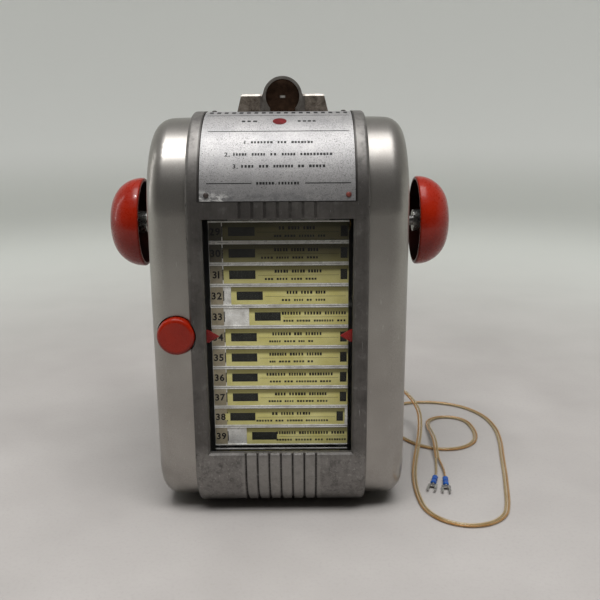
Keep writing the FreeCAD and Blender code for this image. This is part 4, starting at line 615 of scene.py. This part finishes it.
def digit_shapes():
    """Flat outlines of the digits 0 to 9 from the built-in font, 1 tall, as (points, faces, width)."""
    shapes = []
    for digit in range(10):
        text = bpy.data.curves.new("digit", "FONT")
        text.body = str(digit)
        text.resolution_u = 3
        text.offset = 0.03
        holder = bpy.data.objects.new("digit", text)
        data = bpy.data.meshes.new_from_object(holder)
        points = [v.co.copy() for v in data.vertices]
        low = Vector((min(p.x for p in points), min(p.y for p in points), 0))
        tall = max(p.y for p in points) - low.y
        points = [((p.x - low.x) / tall, (p.y - low.y) / tall) for p in points]
        shapes.append((points, [list(p.vertices) for p in data.polygons], max(p[0] for p in points)))
        bpy.data.objects.remove(holder)
        bpy.data.meshes.remove(data)
        bpy.data.curves.remove(text)
    return shapes


DIGITS = digit_shapes()


def write_number(build, number, place, centre, base, tall, lift, slot=0):
    """Digits centred on a place of a surface, each a thin solid from 0 to lift."""
    figures = [DIGITS[int(c)] for c in str(number)]
    gap = 0.14
    total = sum(f[2] for f in figures) + gap * (len(figures) - 1)
    start = centre - total * tall / 2
    for points, faces, width in figures:
        count = len(points)
        both = [place(start + x * tall, base + y * tall, up) for up in (0, lift) for x, y in points]
        edges = {}
        for face in faces:
            for a, b in zip(face, face[1:] + face[:1]):
                edges[a, b] = edges.get((a, b), 0) + 1
        walls = [[a, b, b + count, a + count] for a, b in edges if (b, a) not in edges]
        ends = [[count + i for i in face] for face in faces] + [list(reversed(face)) for face in faces]
        build.add(both, ends + walls, slot)
        start += (width + gap) * tall


# ---------------- instruction plate print and pins

ARC_BACK, ARC_HEIGHT, PLATE_RADIUS = -2.5, 192.0, 59.6
DEGREE = math.degrees(1 / PLATE_RADIUS)
PRINT = 0.03

# Places on the plate are (side, angle), with the angle from straight ahead up round the plate's curve.
TICK_COUNT, TICK_START, TICK_PITCH, TICK_WIDE, TICK_ANGLE, TICK_TALL = 19, -42.5, 4.6, 2.4, 81.0, 5.5
RULES = ((-43.2, 43.2, 73.8), (-41.0, 42.2, 54.1))
RULE_TALL = 0.6
MARK_ANGLE, MARK_TALL = 64.8, 1.9
DISC_SIDE, DISC_RADIUS = 1.1, 4.2
# Each step's line: angle, number, the number's left edge, start and end of the words, and their shares.
STEP_LINES = (
    (45.0, 1, -20.7, -15.5, 21.4, (7, 3, 7)),
    (36.6, 2, -31.4, -25.6, 32.3, (4, 4, 2, 4, 9)),
    (29.1, 3, -26.6, -20.8, 28.2, (4, 3, 6, 2, 5)),
)
FOOT_ANGLE, FOOT_RULES = 19.2, ((-40.8, -14.9), (16.0, 42.4))
PIN_SIDE, PIN_ANGLE, PIN_REACH = 41.0, 12.7, 58.8
REAR_PIN = (0.5, 250.8)


def on_plate(x, degrees, lift):
    turn = math.radians(degrees)
    reach = PLATE_RADIUS + lift
    return x, ARC_BACK - reach * math.cos(turn), ARC_HEIGHT + reach * math.sin(turn)


def plate_bar(build, x0, x1, degrees, tall, slot=0):
    half = tall * DEGREE / 2
    us = steps_between(x0, x1, max(1, int((x1 - x0) / 12)))
    build.sheet(on_plate, us, steps_between(degrees - half, degrees + half, 2), -PRINT, PRINT, slot)


def words(build, bar, start, end, shares, gap, *rest):
    """Word-length bars that fill a line from start to end in the given shares."""
    room = end - start - gap * (len(shares) - 1)
    for share in shares:
        width = room * share / sum(shares)
        bar(build, start, start + width, *rest)
        start += width + gap


def ticked(bar, pitch):
    """Break a bar into short uneven ticks, as a line of small print looks from afar."""
    def ticks(build, x0, x1, *rest):
        count = max(2, round((x1 - x0) / pitch))
        step = (x1 - x0) / count
        for i in range(count):
            begin = x0 + i * step
            bar(build, begin, begin + step * rng.uniform(0.55, 0.8), *rest)
    return ticks


def add_disc(build):
    """The plain roundel, a thin disc of rings that follows the plate's curve."""
    rings, around = 4, 32
    lifts = (-PRINT, 1.5 * PRINT)
    points = [on_plate(DISC_SIDE, MARK_ANGLE, lift) for lift in lifts]
    faces = []
    for step in range(1, rings + 1):
        for x, up in ring(DISC_RADIUS * step / rings, around):
            points += [on_plate(DISC_SIDE + x, MARK_ANGLE + up * DEGREE, lift) for lift in lifts]
    for i in range(around):
        k = (i + 1) % around
        for layer in (0, 1):
            faces.append([layer, 2 + 2 * i + layer, 2 + 2 * k + layer])
            for step in range(rings - 1):
                a, b = 2 + 2 * (step * around + i) + layer, 2 + 2 * (step * around + k) + layer
                faces.append([a, a + 2 * around, b + 2 * around, b])
        a, b = 2 + 2 * ((rings - 1) * around + i), 2 + 2 * ((rings - 1) * around + k)
        faces.append([a, b, b + 1, a + 1])
    build.add(points, faces, 1)


def make_plate_print():
    """The plate's rules, numbers and roundel, with short ticks in place of its words."""
    build = Build()
    for i in range(TICK_COUNT):
        x = TICK_START + i * TICK_PITCH
        plate_bar(build, x, x + TICK_WIDE, TICK_ANGLE, TICK_TALL)
    plate_bar(build, *RULES[0], RULE_TALL)
    words(build, ticked(plate_bar, 3.2), -21.7, -11.5, (1,), 1, MARK_ANGLE, MARK_TALL)
    words(build, ticked(plate_bar, 3.0), 12.0, 24.0, (1,), 1, MARK_ANGLE, MARK_TALL)
    plate_bar(build, *RULES[1], RULE_TALL)
    for degrees, number, spot, start, end, shares in STEP_LINES:
        words(build, ticked(plate_bar, 1.8), start, end, shares, 2.4, degrees, 1.7)

        def near(x, y, lift, degrees=degrees):
            return on_plate(x, degrees + y * DEGREE, lift)

        write_number(build, number, near, spot + 1.7, -1.4, 2.8, PRINT)
        plate_bar(build, spot + 3.3, spot + 3.9, degrees - 1.1, 0.6)
    for x0, x1 in FOOT_RULES:
        plate_bar(build, x0, x1, FOOT_ANGLE, 0.55)
    words(build, ticked(plate_bar, 1.7), -12.1, 13.2, (6, 7), 2.0, FOOT_ANGLE, 1.6)
    add_disc(build)
    return build.make("plate_print", ["ink", "ink_red"], "case")


def make_plate_pins():
    """Domed pin heads. The lower right one is rusty, and the rear two sit behind the crest."""
    build = Build()
    dome = [(1.0, -2.6), (1.0, 0.83), (1.62, 0.84), (1.6, 1.05), (1.35, 1.35), (0.95, 1.55), (0.4, 1.64)]
    turn = math.radians(PIN_ANGLE)
    out = Vector((0, -math.cos(turn), math.sin(turn)))
    for x in (-PIN_SIDE, PIN_SIDE):
        spot = Vector((x, ARC_BACK, ARC_HEIGHT)) + out * PIN_REACH
        stand = Matrix.Translation(spot) @ out.to_track_quat("Z", "Y").to_matrix().to_4x4()
        build.lathe(dome, 18, stand, 0 if x < 0 else 1)
        build.lathe(dome, 18, Matrix.Translation((x, *REAR_PIN)), 0)
    pins = build.make("plate_pin_heads", ["pin_dark", "pin_rust"], "case")
    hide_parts("plate_pins")


plate_print = make_plate_print()
make_plate_pins()


# ---------------- title strips of the belt

WHEEL_LINKS, LOOP_LINKS = 20, 10
BELT_LINKS = 2 * (LOOP_LINKS + WHEEL_LINKS // 2)
LOWEST_ROW = 39
LINK_TURN = 360 / WHEEL_LINKS
APOTHEM = PITCH / 2 / math.tan(math.radians(LINK_TURN / 2))
SLAT_LENGTH, CARD_LENGTH, CARD_START = 84.6, 76.2, 8.6
STRIP_HALF, END_TRIM = 5.45, 1.6
CARD_BASE, CARD_THICK, INK_THICK = 1.985, 0.18, 0.2
TAB_LOW, TAB_TOP, DIGIT_TALL = 1.97, 2.3, 4.6
CARD, TAB, INK, BLOCK = range(4)
SLIPS = {32: 4.2, 33: 15.0, 39: 11.6, 38: -2.0}
# Where the two lines of each visible card start and end, measured from the card's left end.
LINES = {
    29: (34, 56, 31, 62), 30: (31, 58, 23, 58), 31: (31, 60, 25, 57), 32: (34, 58, 31, 58),
    33: (20, 60, 21, 60), 34: (29, 60, 27, 55), 35: (27, 60, 27, 55), 36: (25, 67, 27, 66),
    37: (30, 63, 26, 64), 38: (30, 55, 20, 66), 39: (19, 63, 19, 64),
}
# Plain bars on each card, from and to along it, then their middle height and how tall they are.
MARK_BAR = (3.4, 19.4, 0.0, 5.4)
RULE_BAR = (21.0, 70.0, -0.45, 0.16)
END_BAR = (71.0, 75.2, 0.0, 6.5)


def link_places():
    """Every link as (section, place in its section, turn in degrees, centre)."""
    halves = (("front", "top", 1, LOW_AXIS, TOP_AXIS), ("rear", "bottom", -1, TOP_AXIS, LOW_AXIS))
    for straight, curved, way, first, last in halves:
        base = 0 if way > 0 else 180
        for i in range(LOOP_LINKS + 1):
            yield straight, i, base, (AXIS_Y - way * APOTHEM, first + way * i * PITCH)
        for i in range(WHEEL_LINKS // 2 - 1):
            angle = (i + 1) * LINK_TURN
            y, z = APOTHEM * math.cos(math.radians(angle)), APOTHEM * math.sin(math.radians(angle))
            yield curved, i, base + angle, (AXIS_Y - way * y, last + way * z)


def line_places(number):
    """Start and end of a card's two lines, at random for cards that LINES doesn't hold."""
    if number in LINES:
        return LINES[number]
    a = rng.uniform(26, 32)
    b = a + rng.uniform(22, 34)
    c = rng.uniform(22, 28)
    return a, b, c, c + rng.uniform(26, 38)


def add_card(build, section, number, turn, centre, low, high):
    """One link's card, its number tab and its plain print."""
    spin = Matrix.Rotation(-math.radians(turn), 3, "X")
    phase = rng.uniform(0, 6.28)
    left = -SLAT_LENGTH / 2
    start = left + CARD_START + SLIPS.get(number, 0)
    end = min(start + CARD_LENGTH, SLAT_LENGTH / 2 - 0.1)

    def place(x, s, lift):
        spot = spin @ Vector((x, -lift, s))
        return spot.x, spot.y + centre[0], spot.z + centre[1]

    def on_card(x, s, lift):
        bow = 0.16 * (1 - (s / STRIP_HALF) ** 2) + 0.035 * math.sin(x / 9 + phase)
        return place(x, s, CARD_BASE + 0.04 + bow + lift)

    def on_tab(x, s, lift):
        return place(x, s, TAB_TOP + lift)

    def bar(build, x0, x1, s, tall, slot):
        if x0 < end - 1:
            us = steps_between(x0, min(x1, end - 0.6), max(1, int((x1 - x0) / 8)))
            vs = steps_between(s - tall / 2, s + tall / 2, 2)
            build.sheet(on_card, us, vs, CARD_THICK - 0.01, INK_THICK, slot)

    def plain_bar(sizes, slot):
        x0, x1, s, tall = sizes
        bar(build, start + x0, start + x1, s, tall, slot)

    build.sheet(on_card, steps_between(start, end, 14), steps_between(low, high, 6), 0.0, CARD_THICK, CARD)
    tab = steps_between(left + 0.35, left + 7.9, 1)
    build.sheet(place, tab, steps_between(low, high, 1), TAB_LOW, TAB_TOP, TAB)
    write_number(build, number, on_tab, left + 4.0, -DIGIT_TALL / 2, DIGIT_TALL, 0.03, INK)
    build.sheet(place, [left + 8.0, left + 8.5], [-3.2, 3.2], TAB_LOW - 0.01, TAB_TOP, INK)
    plain_bar(MARK_BAR, BLOCK)
    a, b, c, e = line_places(number)
    for x0, x1, s, tall, count in ((a, b, 2.0, 1.9, 3), (c, e, -2.8, 1.3, 4)):
        shares = [rng.uniform(0.6, 1.6) for _ in range(count)]
        line = ticked(bar, 1.7) if section == "front" else bar
        words(build, line, start + x0, start + x1, shares, 1.6, s, tall, INK)
    plain_bar(RULE_BAR, INK)
    plain_bar(END_BAR, BLOCK)


def make_title_strips():
    """One object of cards, tabs and print for each section of the belt. The wheels' end cards are trimmed."""
    builds = {}
    last = WHEEL_LINKS // 2 - 2
    for index, (section, step, turn, centre) in enumerate(link_places()):
        build = builds.setdefault(section, Build())
        curved = section in ("top", "bottom")
        low = -STRIP_HALF + (END_TRIM if curved and step == 0 else 0)
        high = STRIP_HALF - (END_TRIM if curved and step == last else 0)
        add_card(build, section, (LOWEST_ROW - index) % BELT_LINKS or BELT_LINKS, turn, centre, low, high)
    bodies = {"front": "front_titles", "rear": "rear_titles", "top": "selector", "bottom": "lower_wheels"}
    for section, build in builds.items():
        strips = build.make(f"{section}_cards", ["title_paper", "tab", "ink", "ink_block"], bodies[section])
        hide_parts(f"{section}_title_strips")


make_title_strips()


# ---------------- slotted screws of the back plate

SCREW_SIDE, SCREW_HEIGHTS = 68.5, (13.5, 238.5)


def slotted_screw(build, x, z):
    """A screw with a shallow dome and a slot, built as two half heads and a shank."""
    head, rise, low, half_slot = 2.7, 1.75, 61.45, 0.42
    turn = Matrix.Rotation(rng.uniform(0, math.pi), 4, "Z")
    stand = Matrix.Translation((x, low, z)) @ Matrix.Rotation(-math.pi / 2, 4, "X") @ turn
    build.lathe([(1.5, -11.8), (1.5, 0), (head, 0), (head, 0.75)], 28, stand)
    begin = math.asin(half_slot / head)
    for side in (0, math.pi):
        angles = steps_between(side + begin, side + math.pi - begin, 14)
        outline = [(head * math.cos(angle), head * math.sin(angle)) for angle in angles]
        inner = [(x * 0.8, y * 0.8 + math.copysign(half_slot * 0.2, y)) for x, y in outline]
        count = len(outline)
        rings = ((outline, 0.7), (outline, rise - 0.45), (inner, rise))
        points = [stand @ Vector((x, y, height)) for shape, height in rings for x, y in shape]
        build.add(points, end_faces(3, count) + ring_faces(3, count))


def make_back_screws():
    build = Build()
    for x in (-SCREW_SIDE, SCREW_SIDE):
        for z in SCREW_HEIGHTS:
            slotted_screw(build, x, z)
    screws = build.make("slotted_back_screws", ["steel"], "case", 0.1)
    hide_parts("back_plate_screws")


make_back_screws()


# ---------------- spring of the button

SPRING_TURNS, SPRING_RADIUS, SPRING_WIRE = 4.5, 6.2, 0.45


def make_spring():
    """The button's coil with a round wire. It rides on the button."""
    low, high = (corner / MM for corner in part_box("button_spring"))
    middle = (low + high) / 2
    first, last = low.y + SPRING_WIRE, high.y - SPRING_WIRE
    around, per_turn = 8, 24
    runs = round(SPRING_TURNS * per_turn)
    points = []
    for i in range(runs + 1):
        angle = 2 * math.pi * i / per_turn
        out = Vector((math.cos(angle), 0, math.sin(angle)))
        spot = Vector((middle.x, first + (last - first) * i / runs, middle.z)) + out * SPRING_RADIUS
        for k in range(around):
            turn = 2 * math.pi * k / around
            rise = Vector((0, SPRING_WIRE * math.sin(turn), 0))
            points.append(spot + out * SPRING_WIRE * math.cos(turn) + rise)
    build = Build()
    build.add(points, end_faces(runs + 1, around) + ring_faces(runs + 1, around), 0, True)
    spring = build.make("round_spring", ["steel"], "button")
    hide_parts("button_spring")
    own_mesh(spring)


make_spring()


# ---------------- cord, leads and terminals

ROUTE = [
    (50, 59, 52), (50, 73, 52), (55.5, 87, 48.5), (69, 96, 42), (86, 97, 34.5), (101, 89, 25.5),
    (108.5, 73, 17.4), (105.5, 50, 10.6), (101, 31, 7), (96, 12, 3.6), (92.3, -8, 1.6), (91, -25, 1.1),
    (91, -41, 1.1), (93, -56, 1.1), (101.5, -68.5, 1.1), (115.3, -75, 1.1), (130.6, -73, 1.1),
    (142.6, -63, 1.1), (148, -48, 1.1), (152.5, -28, 1.1), (157.5, -5, 1.1), (163, 24, 1.1),
    (168.5, 50, 1.1), (171, 76, 1.1), (167, 101, 1.1), (153, 121, 1.1), (131, 131, 1.1), (108, 130.5, 1.1),
    (88, 120, 1.1), (76, 103, 1.1), (76, 85, 1.1), (85, 69, 1.1), (94, 54, 1.1), (104, 41, 1.1),
    (119, 34, 1.1), (135, 36, 1.1), (147, 46, 1.1), (152, 61, 1.1), (152.2, 76.3, 1.1), (149.9, 89.2, 1.1),
    (140.3, 97.2, 1.1), (127.7, 97.2, 1.1), (118.2, 89.2, 1.4), (116, 76, 2.3), (115.9, 61, 4.2),
    (115.5, 46, 6.3), (114.3, 31, 6.2), (113, 16, 2.7),
]
LEAD_A = [(114.05, 15.7, 2.7), (115, 5, 1.6), (114.4, -7, 2.1), (112.6, -19, 2.1)]
LEAD_B = [(111.85, 15.7, 2.7), (110.4, 5, 1.6), (108.4, -6.5, 2.1), (105, -17, 2.1)]
LEAD_LENGTHS = (0.0349, 0.0336)
SHEATH_RADIUS, WIRE_RADIUS, WIRE_SIDE = 1.05, 0.62, 1.03


def ring_profile(name, points):
    """A closed outline that a cord's line carries along; it isn't shown itself."""
    curve = bpy.data.curves.new(name, "CURVE")
    curve.dimensions = "2D"
    spline = curve.splines.new("POLY")
    spline.points.add(len(points) - 1)
    for point, (x, y) in zip(spline.points, points):
        point.co = (x * MM, y * MM, 0, 1)
    spline.use_cyclic_u = True
    thing = placed(name, curve)
    thing.hide_render = True
    thing.hide_viewport = True
    return thing


def circle(radius, side, steps):
    return [(side + x, y) for x, y in ring(radius, steps)]


def twin_outline(radius, waist, steps):
    """A flat twin sheath: two round halves joined by a thin web."""
    edge = math.asin(waist / radius)
    turns = steps_between(edge - math.pi, math.pi - edge, steps)
    right = [(radius + radius * math.cos(turn), radius * math.sin(turn)) for turn in turns]
    return right + [(-x, -y) for x, y in right]


def laid(name, route, profile, material):
    """A smooth line along a route, with the profile's section, on the case."""
    curve = bpy.data.curves.new(name, "CURVE")
    curve.dimensions = "3D"
    spline = curve.splines.new("NURBS")
    spline.points.add(len(route) - 1)
    for point, spot in zip(spline.points, route):
        point.co = (*(c * MM for c in spot), 1)
    spline.order_u = 3
    spline.use_endpoint_u = True
    spline.resolution_u = 8
    curve.twist_mode = "Z_UP"
    curve.bevel_mode = "OBJECT"
    curve.bevel_object = profile
    curve.use_fill_caps = True
    curve.materials.append(finish[material].material)
    thing = placed(name, curve)
    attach(thing, "case")
    return thing


def along(route, back):
    """The frame of a crimp: X along the last run of a lead, its origin back from the lead's end."""
    end = Vector(route[-1])
    way = (end - Vector(route[-2])).normalized()
    side = Vector((0, 0, 1)).cross(way).normalized()
    turn = Matrix((way, side, way.cross(side))).transposed().to_4x4()
    return Matrix.Translation(end - way * back) @ turn


def make_terminals():
    """Crimp sleeves with a flared mouth and a pinched middle, and fork tongues with rounded tips."""
    sleeves, forks = Build(), Build()
    to_x = Matrix.Rotation(math.pi / 2, 4, "Y")
    squash = Matrix.Diagonal((1, 1, 0.86, 1))
    profile = [
        (1.15, 0), (2.02, 0), (2.1, 0.3), (1.95, 0.9), (1.82, 1.5), (1.8, 2.6), (1.95, 3.0), (2.02, 3.4),
        (2.02, 4.2), (1.78, 4.7), (1.7, 5.6), (1.78, 6.5), (2.02, 7.0), (2.02, 9.4), (1.9, 9.8), (1.7, 10.0),
        (1.15, 10.0),
    ]
    prongs = [
        (10.1, -1.5), (11.2, -3.1), (17.0, -3.2), (19.2, -2.9), (20.05, -2.3), (19.6, -1.85), (18.6, -1.7),
        (14.2, -1.7), (13.6, -1.2), (13.3, 0),
    ]
    outline = prongs + [(x, -y) for x, y in reversed(prongs[:-1])]
    for route in (LEAD_A, LEAD_B):
        stand = along(route, 5)
        sleeves.lathe(profile, 22, stand @ squash @ to_x)
        forks.lathe([(0.95, 5.2), (1.05, 5.4), (1.05, 10.3), (0.7, 10.9)], 16, stand @ to_x)
        forks.prism(outline, -0.4, 0.4, stand)
    a = sleeves.make("crimp_sleeves", ["blue_nylon"], "case")
    b = forks.make("fork_tongues", ["tinned"], "case", 0.12)
    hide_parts("terminal_sleeves")
    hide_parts("terminal_forks")
    return a, b


def make_cord():
    sheath = ring_profile("twin_sheath", twin_outline(SHEATH_RADIUS, 0.34, 10))
    single = ring_profile("lead_sheath", circle(SHEATH_RADIUS, 0, 14))
    left = ring_profile("left_wire", circle(WIRE_RADIUS, -WIRE_SIDE, 8))
    right = ring_profile("right_wire", circle(WIRE_RADIUS, WIRE_SIDE, 8))
    middle = ring_profile("lead_wire", circle(WIRE_RADIUS, 0, 8))
    sleeves, forks = make_terminals()
    main = laid("twin_cord", ROUTE, sheath, "clear_vinyl")
    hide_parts("cord_main")
    wires = [laid("copper_conductor", ROUTE, right, "copper"),
             laid("tinned_conductor", ROUTE, left, "tin_wire")]
    leads = (("a", LEAD_A, "copper"), ("b", LEAD_B, "tin_wire"))
    for (name, route, wire), length in zip(leads, LEAD_LENGTHS):
        lead = laid(f"lead_{name}", route, single, "clear_vinyl")
        inner = laid(f"lead_{name}_wire", route, middle, wire)
        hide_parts(f"cord_lead_{name}")
        tuple(c * MM for c in route[0])


make_cord()


# ---------------- floor, light and camera

FLOOR_FLAT, FLOOR_CURVE, FLOOR_TOP = 1.5, 0.9, 2.6
# Each light's name, place, what it points at, size, power in watts, and whether reflections show it.
LIGHTS = (
    ("ceiling", (0.0, -0.05, 1.5), (0, -0.03, 0.1), (1.1, 0.8), 12, True),
    ("key", (0.1, -0.6, 1.4), (0, -0.05, 0.15), (1.4, 0.4), 26, False),
    ("edge", (-1.0, 0.15, 0.55), (-0.08, 0, 0.15), (0.05, 0.8), 0.95, True),
    ("lamp", (-0.35, -0.25, 1.3), (0, 0, 0.15), (0.09, 0.05), 1.5, True),
)
WORLD_COLOUR, WORLD_STRENGTH = (0.85, 0.85, 0.84, 1), 0.22
# The camera was worked out from the photo; its angles are in degrees.
CAMERA_PLACE, CAMERA_LENS, CAMERA_DOWN, CAMERA_ROLL = (0.0126, -0.4925, 0.2506), 45, 14, 0.4


def floor_finish():
    """Warm grey under the box, and colour standing in for light: painted paler far away and up the wall,
    where the lamps give less light, and darker towards the camera's side.
    """
    m = Finish("floor", Roughness=0.55)
    colour = m.over(srgb(147, 143, 140), srgb(157, 153, 150), m.noise(90, 4, 0.5), 0.3, 0.7)
    colour = m.over(colour, srgb(134, 130, 127), m.noise(2.2, 5, 0.7), 0.5, 0.72, 0.35)
    reach = m.reach(m.axis("X"), m.axis("Y"))
    # Painted light: paler far away and up the wall, where the lamps give less light.
    colour = m.mix(m.span(reach, 250, 1100), colour, srgb(212, 214, 208))
    colour = m.mix(m.span(m.axis("Z"), 0, 160), colour, srgb(240, 241, 237))
    m.set(Base_Color=m.mix(m.span(m.axis("Y"), -450, -1000), colour, srgb(100, 98, 95)))
    return m


def make_floor():
    """A wide pale dish: flat under and round the box, then curving up far away."""
    profile = [(0.0, 0), (0.6, 0), (FLOOR_FLAT, 0.0)]
    for angle in steps_between(0, math.pi / 2, 12)[1:]:
        profile.append((FLOOR_FLAT + FLOOR_CURVE * math.sin(angle), FLOOR_CURVE * (1 - math.cos(angle))))
    profile.append((FLOOR_FLAT + FLOOR_CURVE, FLOOR_TOP))
    around = 72
    points = [(x, y, height) for radius, height in profile for x, y in ring(radius, around)]
    data = bpy.data.meshes.new("floor")
    data.from_pydata(points, [], ring_faces(len(profile), around))
    data.validate()
    for polygon in data.polygons:
        polygon.use_smooth = True
    data.materials.append(floor_finish().material)
    floor = placed("floor", data)


def add_light(name, spot, target, size, power, glossy):
    light = bpy.data.lights.new(name, "AREA")
    light.shape = "RECTANGLE"
    light.size, light.size_y = size
    light.energy = power
    thing = placed(name, light)
    thing.location = spot
    thing.rotation_euler = (Vector(target) - Vector(spot)).to_track_quat("-Z", "Y").to_euler()
    thing.visible_glossy = glossy


def make_world():
    world = bpy.data.worlds.new("world")
    world.use_nodes = True
    background = world.node_tree.nodes["Background"]
    background.inputs["Color"].default_value = WORLD_COLOUR
    background.inputs["Strength"].default_value = WORLD_STRENGTH
    scene.world = world


def make_camera():
    data = bpy.data.cameras.new("camera")
    data.lens = CAMERA_LENS
    data.sensor_width = 36
    data.clip_start = 0.01
    camera = placed("camera", data)
    tilt = Matrix.Rotation(math.radians(90 - CAMERA_DOWN), 4, "X")
    roll = Matrix.Rotation(-math.radians(CAMERA_ROLL), 4, "Z")
    camera.matrix_world = Matrix.Translation(CAMERA_PLACE) @ tilt @ roll
    scene.camera = camera


make_floor()
for each_light in LIGHTS:
    add_light(*each_light)
make_world()
make_camera()

bpy.context.view_layer.update()
